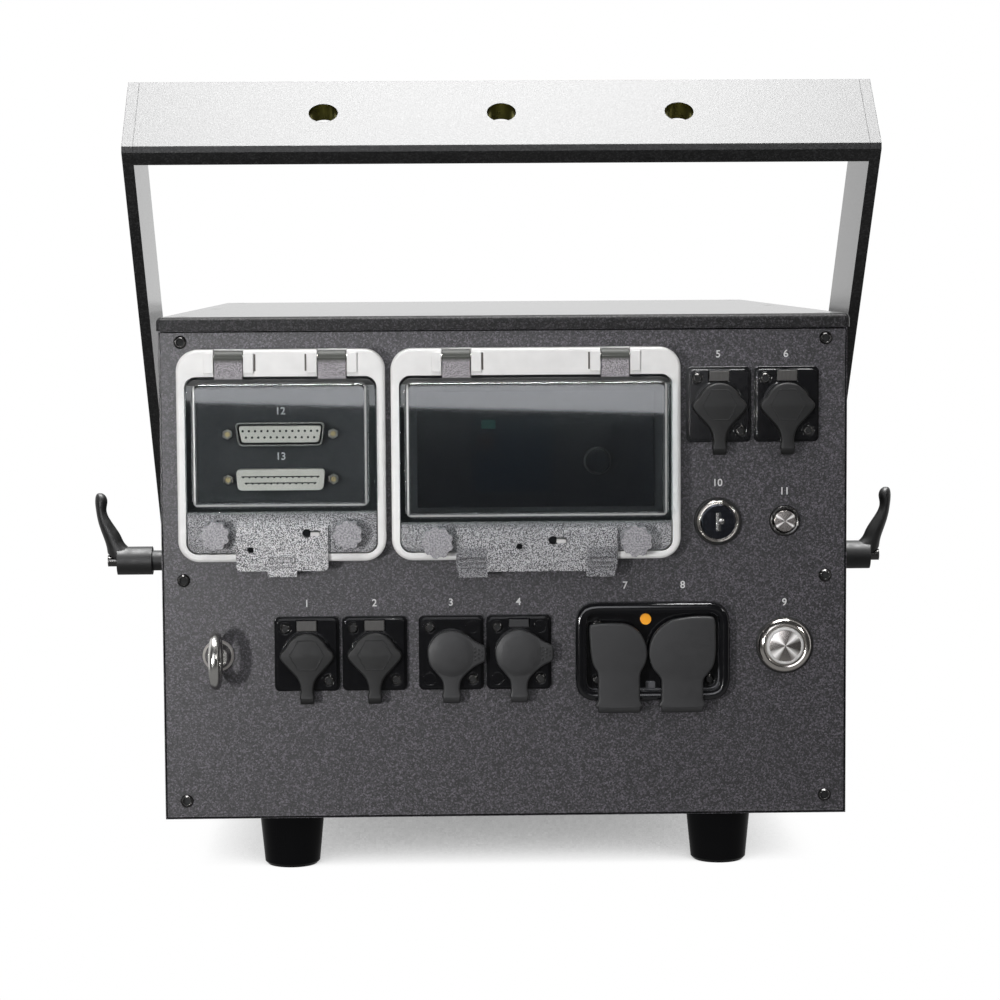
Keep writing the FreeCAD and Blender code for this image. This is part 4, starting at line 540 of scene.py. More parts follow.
def window_plastic(kind):
    """Clear plastic: a painted highlight rim, walls and bends painted dark as shade, a pebbled edge and grey
    lugs.
    """
    low, high = box_face(kind)
    made = WindowPlastic(kind + "_window_plastic", low, high)
    # The pebbles' pale and dark speckle is partly the plastic's grain and partly painted sparkle.
    grain_and_sparkle = made.ramp(made.noise(GRAIN_MM, 1.0), 0.41, 0.59, 0, 1)
    bright = made.blend(pebble_shade_and_show_through(made, kind, low), SHADES["pebble"], SHADES["dim_pebble"])
    lug = made.blend(grain_and_sparkle, SHADES["lug_pit"], SHADES["lug"])
    shade = made.blend(made.face, SHADES["wall"], SHADES["face"])
    shade = made.blend(made.rim, shade, SHADES["rim"])
    shade = made.blend(made.ledge, shade, SHADES["ledge"])
    shade = made.blend(made.pebbled, shade, made.blend(grain_and_sparkle, SHADES["pebble_pit"], bright))
    shade = made.blend(made.lug, shade, made.blend(made.smoke, lug, SHADES["smoke"]))
    made.feed("Base Color", shade)
    solid = made.most(made.reckon("MULTIPLY", made.rim, 0.75), made.reckon("MULTIPLY", made.pebbled, 0.8),
                      made.lug, made.ledge)
    clearness = made.reckon("SUBTRACT", 1.0, solid)
    made.feed("Transmission Weight", clearness)
    dull = made.reckon("MULTIPLY", made.most(made.ledge, made.smoke), 0.6)
    made.feed("Roughness", made.most(made.ramp(solid, 0, 1, 0.02, 0.3), dull))
    made.bump(made.noise(GRAIN_MM, 1.0), GRAIN_DEPTH_MM,
              made.most(made.pebbled, made.reckon("MULTIPLY", made.lug, 0.3)), GRAIN_EDGE_MM)
    let_light_in(made, clearness)
    return made


for kind in ("small", "large"):
    plastic = window_plastic(kind)
    dress(plastic, kind + "_window_cover")
    print(plastic.material.name, "has", len(plastic.tree.nodes), "nodes")

# %% [markdown]
# ## Dress the CAD nodes
# Most nodes already have the real shape. They could be built here again, but a second copy of a right
# shape adds nothing, so they keep it and only change their finish. The caps of the power plate and of the
# control sockets are a paler rubber than the others, and one push tab is black.

# %% Hand out the finishes
caps = [name for name in nodes if name.endswith("_cap")]
pale_caps = [name for name in caps if name.startswith(("dmx", "power"))]
latches = [name for name in nodes if name.endswith("_latch")]
dress(foot_rubber_and_edge_shade, "rubber_feet")
dress(cap_rubber, *caps)
dress(soft_rubber, *pale_caps)
dress(socket_plastic, "network_sockets", "dmx_sockets", "interlock_sockets", "power_sockets")
dress(lever_plastic, "left_clamp_lever", "right_clamp_lever")
dress(latch_grey, *latches)
dress(latch_black, "dmx_out_latch")
dress(frame_plastic, "small_window_frame", "large_window_frame")
dress(unit_plastic, "control_unit", "control_knob")
dress(knob_plastic, "small_left_knob", "small_right_knob", "large_left_knob", "large_right_knob")
dress(beam_glass, "aperture_window")
dress(amber, "power_indicator")
dress(zinc, "yoke_screws", "window_hinge_pins", "safety_eye")
dress(dark_steel, "housing_screws", "clamp_studs")
dress(chrome, "switch_housings", "safety_button", "power_button", "signal_connectors")
dress(dark_chrome, "key_barrel")
dress(anodised, "optical_bench", "laser_modules", "scanner_block")
dress(silvered, "beam_combiner", "x_scan_mirror", "y_scan_mirror")
dress(supply_grey, "power_supply")
print(len(caps), "caps and", len(latches), "push tabs")

# %% [markdown]
# ## Turned pieces
# Screws, rings and buttons come from a lathe. A screw modifier could spin a curve, but here a profile of
# radius and height is spun straight into one mesh in millimetres, because a piece often has several
# turned shapes, each with its own finish. When a piece is done it becomes metres and rides on its body.

# %% A mesh under construction
OUT = Vector((0, -1, 0))
SHARP = math.radians(32)


class TurnedPiece:
    """A mesh under construction, in millimetres. Each shape in it keeps its own finish."""

    def __init__(self, name):
        self.name, self.shape, self.finishes = name, bmesh.new(), []

    def paint(self, finish, faces):
        """Give new faces a finish."""
        if finish not in self.finishes:
            self.finishes.append(finish)
        for face in faces:
            face.material_index = self.finishes.index(finish)
            face.smooth = True

    def turned(self, finish, place, profile, out=OUT, steps=40):
        """Spin a profile of (radius, height) about an axis through a place."""
        side = (Vector((1, 0, 0)) if abs(out.x) < 0.5 else Vector((0, 1, 0))).cross(out).normalized()
        other = out.cross(side)
        rings = []
        for radius, height in profile:
            count = steps if radius else 1
            turns = [2 * math.pi * step / count for step in range(count)]
            rings.append([self.shape.verts.new(Vector(place) + out * height + side * (radius * math.cos(turn))
                                               + other * (radius * math.sin(turn))) for turn in turns])
        faces = []
        for low, high in zip(rings, rings[1:]):
            for step in range(steps):
                after = step + 1
                corners = (low[step % len(low)], low[after % len(low)], high[after % len(high)],
                           high[step % len(high)])
                faces.append(self.shape.faces.new(list(dict.fromkeys(corners))))
        self.paint(finish, faces)

    def done(self, body, slot, *replaced):
        """Finish the mesh in metres, let it ride on a body, and let it stand for CAD nodes."""
        bmesh.ops.recalc_face_normals(self.shape, faces=self.shape.faces)
        bmesh.ops.scale(self.shape, vec=(MM, MM, MM), verts=self.shape.verts)
        mesh = bpy.data.meshes.new(self.name)
        self.shape.to_mesh(mesh)
        self.shape.free()
        mesh.set_sharp_from_angle(angle=SHARP)
        for finish in self.finishes:
            mesh.materials.append(finish.material)
        made = add(self.name, mesh)
        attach(made, body)
        if replaced:
            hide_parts(*replaced)
        print(self.name, "has", len(mesh.polygons), "faces")


REAR_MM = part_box("rear_panel")[0].y / MM
print("the panel's face lies at y =", round(REAR_MM, 2), "mm")

# %% [markdown]
# ## Outlines
# Punched and moulded pieces start as an outline on the panel, in millimetres to the right and up. A curve
# object could hold it, but a list of points is easier to round, to move inwards and to join to the next
# one.

# %% Outline helpers


def eased(corners, radius, steps=5):
    """An outline with round corners, each a curve between its two sides."""
    outline = []
    for before, corner, after in zip(corners[-1:] + corners[:-1], corners, corners[1:] + corners[:1]):
        start = Vector(corner) + (Vector(before) - Vector(corner)).normalized() * radius
        end = Vector(corner) + (Vector(after) - Vector(corner)).normalized() * radius
        for step in range(steps + 1):
            t = step / steps
            outline.append(start * (1 - t) ** 2 + Vector(corner) * 2 * t * (1 - t) + end * t ** 2)
    return outline


def oblong(x, z, width, height, radius, slant=0.0):
    """A round-cornered outline about a middle. A slant makes its lower side shorter."""
    half, lift = width / 2, height / 2
    return eased([(x - half + slant, z - lift), (x + half - slant, z - lift), (x + half, z + lift),
                  (x - half, z + lift)], radius)


def inset(outline, amount):
    """The same outline, moved inwards. It runs anticlockwise."""
    moved = []
    for count, point in enumerate(outline):
        run = outline[(count + 1) % len(outline)] - outline[count - 1]
        moved.append(point + Vector((-run.y, run.x)).normalized() * amount)
    return moved


print("an oblong has", len(oblong(0, 0, 4, 2, 0.5)), "points")

# %% [markdown]
# ## Pieces on the panel
# A slab is an outline with a thickness, a band is a slab with a hole, and a stack runs through several
# insets of an outline, so its edge can be rounded by a listed profile. A bevel modifier would round it
# too, but its width can't follow a profile. All of them stand on the panel and measure their height from
# its face.

# %% Panel shapes


class Piece(TurnedPiece):
    """A mesh that can also hold flat shapes on the panel."""

    def loop(self, outline, proud):
        """An outline's points, at a height over the panel."""
        return [self.shape.verts.new((x, REAR_MM - proud, z)) for x, z in outline]

    def walls(self, low, high):
        """Faces between two loops that have as many points."""
        count = len(low)
        return [self.shape.faces.new((low[k], low[(k + 1) % count], high[(k + 1) % count], high[k]))
                for k in range(count)]

    def slab(self, finish, outline, back, front):
        """A flat shape that stands on the panel from one height to another."""
        low, high = self.loop(outline, back), self.loop(outline, front)
        self.paint(finish, self.walls(low, high) + [self.shape.faces.new(high)])

    def stack(self, finish, outline, steps, closed=False):
        """Walls through insets of an outline, each at its own height, with or without a lid on both ends."""
        loops = [self.loop(inset(outline, into), proud) for into, proud in steps]
        faces = [face for low, high in zip(loops, loops[1:]) for face in self.walls(low, high)]
        for loop in (loops[0], loops[-1]) if closed else ():
            corners = tessellate_polygon([[vertex.co for vertex in loop]])
            faces += [self.shape.faces.new([loop[k] for k in corner]) for corner in corners]
        self.paint(finish, faces)

    def pad(self, finish, outline, back, front, ease):
        """A soft slab with a round front edge."""
        turns = [math.radians(15 * step) for step in range(7)]
        steps = [(ease * (1 - math.cos(turn)), front - ease * (1 - math.sin(turn))) for turn in turns]
        self.stack(finish, outline, [(0, back)] + steps, closed=True)

    def band(self, finish, outer, inner, back, front):
        """A slab with a hole. Both outlines have as many points."""
        edges = ((outer, back), (outer, front), (inner, front), (inner, back))
        loops = [self.loop(outline, proud) for outline, proud in edges]
        self.paint(finish, [face for low, high in zip(loops, loops[1:]) for face in self.walls(low, high)])


def box_mm(name):
    """The lowest and highest corners of a CAD node, in millimetres."""
    return tuple(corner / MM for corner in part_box(name))


def middle_of(name):
    """Where a CAD node has its middle on the panel."""
    low, high = box_mm(name)
    return (low.x + high.x) / 2, (low.z + high.z) / 2


def at_panel(middle):
    """A middle's point on the panel's face."""
    return (middle[0], REAR_MM, middle[1])


print("shapes:", [name for name in vars(Piece) if not name.startswith("_")])

# %% [markdown]
# ## Case screws
# The case is closed with black button-head screws. Each has a domed head, a chamfered mouth and a hexagon
# socket. On the lid the heads are flat and sunk. Their places could be typed in, but the CAD node has one
# solid for each screw, so the mesh is split into its islands and every island gets a finer head.

# %% Case screws
SCREW_MM, SCREW_HEIGHT_MM = 5.9, 1.7
MOUTH, SOCKET = 0.29, 1.14


def islands(name):
    """The lowest and highest corners, in millimetres, of the separate solids in a CAD node."""
    shape = bmesh.new()
    shape.from_mesh(nodes[name].data)
    bmesh.ops.remove_doubles(shape, verts=shape.verts, dist=0.001 * MM)
    waiting, boxes = set(shape.verts), []
    while waiting:
        reached, places = [waiting.pop()], []
        while reached:
            vertex = reached.pop()
            places.append(vertex.co / MM)
            near = {edge.other_vert(vertex) for edge in vertex.link_edges} & waiting
            waiting -= near
            reached.extend(near)
        boxes.append(tuple(Vector([pick(c[k] for c in places) for k in range(3)]) for pick in (min, max)))
    shape.free()
    return sorted(boxes, key=lambda box: [round(v, 2) for v in box[0]])


def button_screw(piece, place, size, height, out=OUT):
    """A domed head with a hexagon socket."""
    rim, mouth = size / 2, size * MOUTH
    piece.turned(dark_steel, place, [(rim, 0), (rim, 0.22 * height), (0.9 * rim, 0.62 * height),
                                     (0.72 * rim, 0.9 * height), (mouth * 1.12, height),
                                     (mouth, 0.88 * height)], out)
    # The hexagon socket is painted near black, as painted shade in the recess.
    piece.turned(hollow, place, [(mouth * SOCKET, 0.88 * height), (mouth * SOCKET, 0.2 * height),
                                 (0, 0.2 * height)], out, steps=6)


def flat_screw(piece, place, size, out):
    """A sunk head with a hexagon socket."""
    rim, mouth = size / 2, size * MOUTH
    piece.turned(dark_steel, place, [(rim * 0.65, -SCREW_HEIGHT_MM), (rim, -0.05), (rim, 0), (mouth, 0)], out)
    # The hexagon socket is painted near black, as painted shade in the recess.
    piece.turned(hollow, place, [(mouth * SOCKET, 0), (mouth * SOCKET, -1.2), (0, -1.2)], out, steps=6)


lid_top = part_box("top_cover")[1].z / MM
case_screws = Piece("case_screws")
for low, high in islands("housing_screws"):
    middle = (low + high) / 2
    if high.z > lid_top - 0.5:
        flat_screw(case_screws, (middle.x, middle.y, lid_top), SCREW_MM, Vector((0, 0, 1)))
    elif low.y < REAR_MM:
        button_screw(case_screws, (middle.x, REAR_MM, middle.z), SCREW_MM, SCREW_HEIGHT_MM)
    else:
        seat = high.y - SCREW_HEIGHT_MM
        button_screw(case_screws, (middle.x, seat, middle.z), SCREW_MM, SCREW_HEIGHT_MM, -OUT)
case_screws.done("housing", "steel", "housing_screws")

# %% [markdown]
# ## Socket fasteners
# Each round socket is held by two screws, upper left and lower right, that sit in shallow round seats of
# its flange. The control sockets have a seat in every corner, and the power plate has three deeper ones.
# The case's screw is used again in smaller sizes, because the real ones are the same kind.

# %% Flange screws
GASKET_HEIGHT_MM, FLANGE_MM = 33.8, 4.2
SCREW_OUT_MM, SCREW_UP_MM = 9.6, 11.7
FLANGE_SCREW_MM, FLANGE_SEAT_MM = (4.6, 0.7), 6.2
POWER_HEIGHT_MM, POWER_FLOOR_MM = 44.3, 2.5
POWER_SCREW_MM, POWER_SEAT_MM = (4.2, 0.6), 6.4
POWER_SCREWS_MM = ((-24.8, 12.3), (-24.8, -13.2), (25.8, -13.2))


def axes_of(name):
    """Where the sockets of a CAD node have their axes."""
    return [((low.x + high.x) / 2, high.z - GASKET_HEIGHT_MM / 2) for low, high in islands(name)]


def screw_seat(piece, x, z, proud, size):
    """A raised ring round a screw."""
    rim = size / 2
    piece.turned(socket_plastic, (x, REAR_MM - proud, z),
                 [(rim, 0), (rim - 0.1, 0.2), (rim - 0.4, 0.2), (rim - 0.6, 0.02)])


sockets = {name: axes_of(name + "_sockets") for name in ("network", "dmx", "interlock")}
flange_screws = Piece("flange_screws")
for name, axes in sockets.items():
    for x, z in axes:
        for out, up in ((-1, 1), (1, -1), (-1, -1), (1, 1)):
            place = (x + out * SCREW_OUT_MM, z + up * SCREW_UP_MM)
            if out == -up:
                button_screw(flange_screws, (place[0], REAR_MM - FLANGE_MM, place[1]), *FLANGE_SCREW_MM)
            if out == -up or name == "dmx":
                screw_seat(flange_screws, *place, FLANGE_MM, FLANGE_SEAT_MM)
power_low, power_high = box_mm("power_sockets")
power_x, power_z = (power_low.x + power_high.x) / 2, power_high.z - POWER_HEIGHT_MM / 2
for out, up in POWER_SCREWS_MM:
    x, z = power_x + out, power_z + up
    button_screw(flange_screws, (x, REAR_MM - POWER_FLOOR_MM, z), *POWER_SCREW_MM)
    screw_seat(flange_screws, x, z, POWER_FLOOR_MM, POWER_SEAT_MM)
flange_screws.done("housing", "steel")

# %% [markdown]
# ## Cap outlines
# The caps are soft mouldings without a straight line. Arcs and lines would join with visible kinks, so
# each outline is a smooth curve through a few points about the socket's axis. The shield is the same on
# both sides, the others have an ear or a shoulder on one side.

# %% Draw the caps


def smooth(points, steps=6):
    """A closed smooth curve through points."""
    outline = []
    for count in range(len(points)):
        before, start, end, after = (Vector(points[(count + k) % len(points)]) for k in (-1, 0, 1, 2))
        for step in range(steps):
            t = step / steps
            bow = 2 * before - 5 * start + 4 * end - after + t * (3 * (start - end) + after - before)
            outline.append(start + 0.5 * t * (end - before + t * bow))
    return outline


STRAP_MM, POWER_STRAP_MM = -19.9, -24.8
HALF_SHIELD = [(0, 9.8), (-4.2, 8.9), (-7.6, 6.2), (-9.4, 3.4), (-11.5, 1.3), (-12.2, -0.7), (-11.2, -2.7),
               (-8.8, -5.4), (-6.3, -8.1), (-4.3, -10.6), (-3.2, -13.4), (-2.8, -16.5), (-3.0, STRAP_MM)]
SHIELD = HALF_SHIELD + [(-x, z) for x, z in reversed(HALF_SHIELD) if x]
EARED = [(0, 10.8), (-6.3, 8.8), (-10, 4.2), (-10.8, 0), (-9.7, -4.9), (-6.7, -8.7), (-4.3, -12), (-3.7, -16),
         (-3.8, STRAP_MM), (3.8, STRAP_MM), (3.7, -16), (4.3, -12), (6.9, -8.7), (10.6, -5.7), (14.6, -3.6),
         (15.4, -2.2), (15.4, 2.2), (14.6, 3.6), (10.6, 5.7), (6.3, 8.8)]
INLET = [(0, 13.4), (-7, 13.4), (-12, 12.9), (-13.3, 11.4), (-13.1, 5), (-12.7, 0), (-11.8, -4.8),
         (-9.9, -8.4), (-9.4, -11), (-9.4, -16), (-9.4, -21), (-9.4, POWER_STRAP_MM), (9.4, POWER_STRAP_MM),
         (9.4, -21), (9.4, -16), (9.4, -11), (9.9, -8.4), (11.8, -4.8), (12.7, 0), (11.6, 5.2), (9, 9.6),
         (4.6, 12.7)]
OUTLET = [(0, 15.6), (-5.4, 14.4), (-10.4, 11), (-13.8, 6.2), (-15, 0), (-13.6, -6.4), (-10.4, -10.6),
          (-9.4, -13), (-9.4, -17), (-9.4, -21), (-9.4, POWER_STRAP_MM), (9.4, POWER_STRAP_MM), (9.4, -21),
          (9.4, -17), (9.4, -13), (10.6, -10.6), (13.8, -6.2), (15, 0), (15, 8), (14.6, 14.2), (13, 16),
          (6, 16.2)]
print("outlines of", len(SHIELD), len(EARED), len(INLET), len(OUTLET), "points")

# %% [markdown]
# ## Shield caps
# A cap hangs on a strap that ends in a round bend, where it turns, and a plug on its back fills the
# socket. On the network and interlock caps a thin pressed line runs round a hexagon. A texture could draw
# it, but a narrow band of geometry stays sharp and goes into the exported mesh.

# %% Mould the shield caps
BEND_MM, BEND_EDGE_MM, PLUG_MM, PLUG_EDGE_MM, CAP_EDGE_MM = 2.5, 0.4, 3.0, 0.6, 0.9
CAP_BACK_MM, CAP_FRONT_MM, CAP_PLUG_MM = 5.3, 8.3, 8.2
HEXAGON_MM, LINE_MM = 7.9, 0.35


def rubber_cap(name, finish, place, points, strap, back, front, plug):
    """A cap with a plug behind it and a round bend at its strap's end."""
    x, z = place
    cap = Piece(name + "_moulding")
    cap.pad(finish, [Vector((x, z)) + point for point in smooth(points)], back, front, CAP_EDGE_MM)
    cap.turned(finish, (x, REAR_MM, z), [(0, back - PLUG_MM), (plug - PLUG_EDGE_MM, back - PLUG_MM),
                                         (plug, back - PLUG_MM + PLUG_EDGE_MM), (plug, back)])
    half = max(point[0] for point in points if point[1] == strap)
    thin = BEND_MM - BEND_EDGE_MM
    cap.turned(finish, (x, REAR_MM - front + BEND_MM, z + strap),
               [(0, -half), (thin, -half), (BEND_MM, BEND_EDGE_MM - half), (BEND_MM, half - BEND_EDGE_MM),
                (thin, half), (0, half)], Vector((1, 0, 0)), 24)
    return cap


hexagon = [Vector((math.cos(math.radians(60 * k)), math.sin(math.radians(60 * k)))) for k in range(6)]
shield_caps = ("network_first_cap", "network_second_cap", "interlock_thru_cap", "interlock_in_cap")
for name, place in zip(shield_caps, sockets["network"] + sockets["interlock"]):
    cap = rubber_cap(name, cap_rubber, place, SHIELD, STRAP_MM, CAP_BACK_MM, CAP_FRONT_MM, CAP_PLUG_MM)
    outer, inner = ([Vector(place) + corner * size for corner in hexagon]
                    for size in (HEXAGON_MM, HEXAGON_MM - LINE_MM))
    # The pressed hexagon line is painted near black, as the shade in its groove.
    cap.band(hollow, outer, inner, CAP_FRONT_MM - 0.1, CAP_FRONT_MM + 0.02)
    cap.done(name, "black_rubber", name)

# %% [markdown]
# ## Eared caps and power caps
# The control sockets' caps are domed, with one pull ear that is pressed with small dots. A dot could be
# cut into the ear, but at this size a dark disc of painted shade that lies just proud of it looks the same
# and keeps the mesh clean. The power caps are larger and plain.

# %% Mould the eared caps and the power caps
DOME = [(10.2, 8.1), (9.4, 8.45), (7.6, 8.75), (5, 8.95), (2.5, 9.05), (0, 9.1)]
DOT_COLUMNS_MM, DOT_PITCH_MM, DOT_MM = ((8.9, 4), (10.6, 4), (12.2, 3), (13.8, 2)), 1.75, 0.9
for name, (x, z) in zip(("dmx_in_cap", "dmx_out_cap"), sockets["dmx"]):
    cap = rubber_cap(name, soft_rubber, (x, z), EARED, STRAP_MM, CAP_BACK_MM, CAP_FRONT_MM, CAP_PLUG_MM)
    cap.turned(soft_rubber, (x, REAR_MM, z), DOME)
    for reach, count in DOT_COLUMNS_MM:
        for row in range(count):
            rise = (row - (count - 1) / 2) * DOT_PITCH_MM
            cap.turned(hollow, (x + reach, REAR_MM - CAP_FRONT_MM, z + rise),
                       [(DOT_MM / 2, -0.2), (DOT_MM / 2, 0.03), (0, 0.03)], steps=12)
    cap.done(name, "black_rubber", name)

POWER_BACK_MM, POWER_FRONT_MM = 7.3, 10.5
POWER_CAPS = {"power_inlet_cap": (-15.4, INLET, 8.7), "power_outlet_cap": (13.0, OUTLET, 10.2)}
for name, (shift, points, plug) in POWER_CAPS.items():
    cap = rubber_cap(name, soft_rubber, (power_x + shift, power_z), points, POWER_STRAP_MM, POWER_BACK_MM,
                     POWER_FRONT_MM, plug)
    cap.done(name, "black_rubber", name)

# %% [markdown]
# ## Power plate
# The plate has a round glossy bead with a pale line inside it, which is a painted highlight, and a small
# pale tab between the straps. A curve with a round bevel would give the bead, but its section isn't a
# circle, so it is a stack of insets with the section written out.

# %% Bead, highlight line and tab
POWER_MM, BEAD_CORNER_MM = (69.4, POWER_HEIGHT_MM), 10.0
BEAD = [(-0.05, 0.2), (-0.05, 5.4), (0.3, 6.4), (1.0, 7.0), (1.9, 7.2), (2.9, 7.15), (3.8, 6.7), (4.4, 5.9),
        (4.6, 4.5), (4.6, 2.6)]
STRAP_TAB_AT_MM, STRAP_TAB_MM, STRAP_TAB_PROUD_MM = (-0.9, -15.4), (4.4, 3.2), (2.4, 3.2)
BEAD_HIGHLIGHT = [(4.6, 2.5), (4.6, 3.0), (5.0, 3.0), (5.0, 2.5)]
bead = Piece("power_bead")
outline = oblong(power_x, power_z, *POWER_MM, BEAD_CORNER_MM)
bead.stack(socket_plastic, outline, BEAD)
# The pale line along the bead's inner edge is a painted highlight.
bead.stack(highlight_line_and_tab_grey, outline, BEAD_HIGHLIGHT)
tab = oblong(power_x + STRAP_TAB_AT_MM[0], power_z + STRAP_TAB_AT_MM[1], *STRAP_TAB_MM, 0.6)
bead.slab(highlight_line_and_tab_grey, tab, *STRAP_TAB_PROUD_MM)
bead.done("housing", "black_plastic")

# %% [markdown]
# ## Signal connectors
# Behind the small window stand two 25-way connectors with tapered shells. The upper one shows a cream
# insert with a row of 13 and a row of 12 holes, which are dark discs of painted shade. The lower one is
# filled with cream, and the shadows of its contacts are painted on it as two dark wavy lines. A hexagon
# jackscrew stands on either side of each. They are built in layers, from the shell inwards, because
# through the window only their fronts are seen.

# %% Shells and contacts
SHELL_MM, SHELL_SLANT_MM, SHELL_PROUD_MM, SHELL_WALL_MM = (40.0, 10.6), 1.3, 6.0, 0.7
INSERT_MM, CONTACT_PITCH_MM, ROW_STEP_MM, SIGNAL_HALF_MM = 5.4, 2.76, 2.84, 6.25
CONTACT_ROWS = ((13, 0.5), (12, -0.5))
PIN_HOLE, CONTACT_SHADOW = [(0.55, 0), (0.5, 0.04), (0, 0.02)], [(0.5, 0), (0.45, 0.04), (0, 0.04)]
signal_low, signal_high = box_mm("signal_connectors")
signal_x = (signal_low.x + signal_high.x) / 2
upper, lower = signal_high.z - SIGNAL_HALF_MM, signal_low.z + SIGNAL_HALF_MM
width, height = SHELL_MM


def shell_outline(shrink, radius):
    """The upper shell's outline, or a smaller one inside it."""
    return oblong(signal_x, upper, width - shrink, height - shrink, radius, SHELL_SLANT_MM)


def contact_places(z):
    """The places of 13 contacts in the upper row and 12 in the lower."""
    for count, lift in CONTACT_ROWS:
        for step in range(count):
            yield signal_x + (step - (count - 1) / 2) * CONTACT_PITCH_MM, z + lift * ROW_STEP_MM


connectors = Piece("signal_connector_faces")
connectors.band(chrome, shell_outline(0, 2.4), shell_outline(2 * SHELL_WALL_MM, 1.9), 0, SHELL_PROUD_MM)
# A near-black slab inside the upper shell is painted shade.
connectors.slab(hollow, shell_outline(2 * SHELL_WALL_MM, 1.9), 0, 3.0)
connectors.slab(cream, shell_outline(3.2, 1.4), 0, INSERT_MM)
for x, z in contact_places(upper):
    # Each hole is a dark disc of painted shade.
    connectors.turned(hollow, (x, REAR_MM - INSERT_MM, z), PIN_HOLE, steps=14)
connectors.slab(cream, oblong(signal_x, lower, width - 0.4, height - 1.2, 2.2, 0.8), 0, SHELL_PROUD_MM)
# The dark lines and discs on the lower insert are the contacts' painted shadows.
for count, lift in CONTACT_ROWS:
    contact_shadow = oblong(signal_x, lower + lift * ROW_STEP_MM, (count - 1) * CONTACT_PITCH_MM + 1.6, 0.5, 0.2)
    connectors.slab(hollow, contact_shadow, SHELL_PROUD_MM - 0.2, SHELL_PROUD_MM + 0.03)
for x, z in contact_places(lower):
    connectors.turned(hollow, (x, REAR_MM - SHELL_PROUD_MM, z - 0.2), CONTACT_SHADOW, steps=12)
print("contacts:", len(list(contact_places(upper))), "in each connector")

# %% [markdown]
# ## Jackscrews
# A jackscrew is a hexagon nut with a threaded hole, where the plug's own screws go in. A thread could be
# cut as a helix, but it is too small to be seen. So six steps of the lathe make the hexagon, and the hole
# is a brass cup inside it.

# %% Jackscrews
JACK_SPREAD_MM = 47.0
JACK_NUT = [(2.7, 0), (2.7, 4.2), (2.3, 4.8), (1.5, 4.8), (1.3, 4.5)]
JACK_HOLE = [(1.35, 4.6), (1.3, 3.6), (0, 3.6)]
for z in (upper, lower):
    for side in (-1, 1):
        seat = (signal_x + side * JACK_SPREAD_MM / 2, REAR_MM, z)
        connectors.turned(chrome, seat, JACK_NUT, steps=6)
        connectors.turned(brass, seat, JACK_HOLE, steps=16)
connectors.done("housing", "bright_metal", "signal_connectors")

# %% [markdown]
# ## Control unit
# The unit behind the large window has a dark display under glass and a turning knob in a moulded ring.
# Two small marks beside the display's upper corner are painted reflections. They could be lamps, but
# here they are thin dark green and amber slabs, because behind the glass they hardly show.

# %% Display, ring and marks
UNIT_FRONT_MM, DISPLAY_BACK_MM, DISPLAY_FRONT_MM, MARK_FRONT_MM = 2.5, 1.7, 2.3, 2.35
DISPLAY_MM, DISPLAY_SHIFT_MM, DISPLAY_DROP_MM = (35.4, 33.4), 10.1, 2.4
KNOB_RING = [(6.2, 0), (6.0, 0.5), (5.5, 0.6), (5.2, 0.4), (5.2, 0)]
green_reflection = moulded("green_reflection", (0.004, 0.032, 0.026), 0.1, 6.0, 0.001)
amber_reflection = moulded("amber_reflection_mark", (0.013, 0.011, 0.011), 0.1, 6.0, 0.001)
REFLECTION_MARKS = ((green_reflection, (6.4, 4.0), -11.0, 13.6), (amber_reflection, (7.5, 7.0), -12.2, 6.0))
unit_x, unit_z = middle_of("control_unit")
display_x, display_z = unit_x - DISPLAY_SHIFT_MM, unit_z - DISPLAY_DROP_MM
knob_x, knob_z = middle_of("control_knob")
unit_face = Piece("control_unit_face")
display = oblong(display_x, display_z, *DISPLAY_MM, 1.2)
unit_face.slab(display_glass, display, DISPLAY_BACK_MM, DISPLAY_FRONT_MM)
unit_face.turned(latch_black, (knob_x, REAR_MM - UNIT_FRONT_MM, knob_z), KNOB_RING)
# The two marks are painted reflections on the display.
for finish, size, out, up in REFLECTION_MARKS:
    mark = oblong(display_x + out, display_z + up, *size, 0.8)
    unit_face.slab(finish, mark, DISPLAY_FRONT_MM, MARK_FRONT_MM)
unit_face.done("housing", "black_plastic")

# %% [markdown]
# ## Turned faces
# Both push buttons have turned faces: the fine grooves of the lathe catch the light as bright rays. An
# anisotropic shader gives such rays, but the export doesn't keep it when it follows a texture, so the
# rays are drawn by the angle about the button's axis.

# %% Turned metal
GROOVE_MM = 0.4


def turned_face(name, middle, highlight_angle, highlight_width):
    """Lathe-turned metal with a fine groove bump and four painted highlight rays."""
    made = Finish(name, (0.5, 0.48, 0.46), 0.3, metallic=1.0)
    side = made.reckon("SUBTRACT", made.along("X"), middle[0] * MM)
    rise = made.reckon("SUBTRACT", made.along("Z"), middle[1] * MM)
    turn = made.reckon("PINGPONG", made.reckon("ARCTAN2", rise, side), math.pi / 2)
    ray = made.ramp(made.reckon("ABSOLUTE", made.reckon("SUBTRACT", turn, highlight_angle)), 0, highlight_width, 1, 0)
    reach = made.reckon("SQRT", made.reckon("ADD", made.reckon("MULTIPLY", side, side),
                                            made.reckon("MULTIPLY", rise, rise)))
    groove = made.reckon("SINE", made.reckon("MULTIPLY", reach, 2 * math.pi / (GROOVE_MM * MM)))
    # The bright rays are painted highlights in the base colour, fixed by the angle about the axis.
    made.feed("Base Color", made.blend(ray, (0.42, 0.39, 0.37), (1.0, 0.98, 0.96)))
    made.feed("Roughness", made.ramp(ray, 0, 1, 0.25, 0.6))
    made.bump(groove, 0.01, 0.3)
    return made


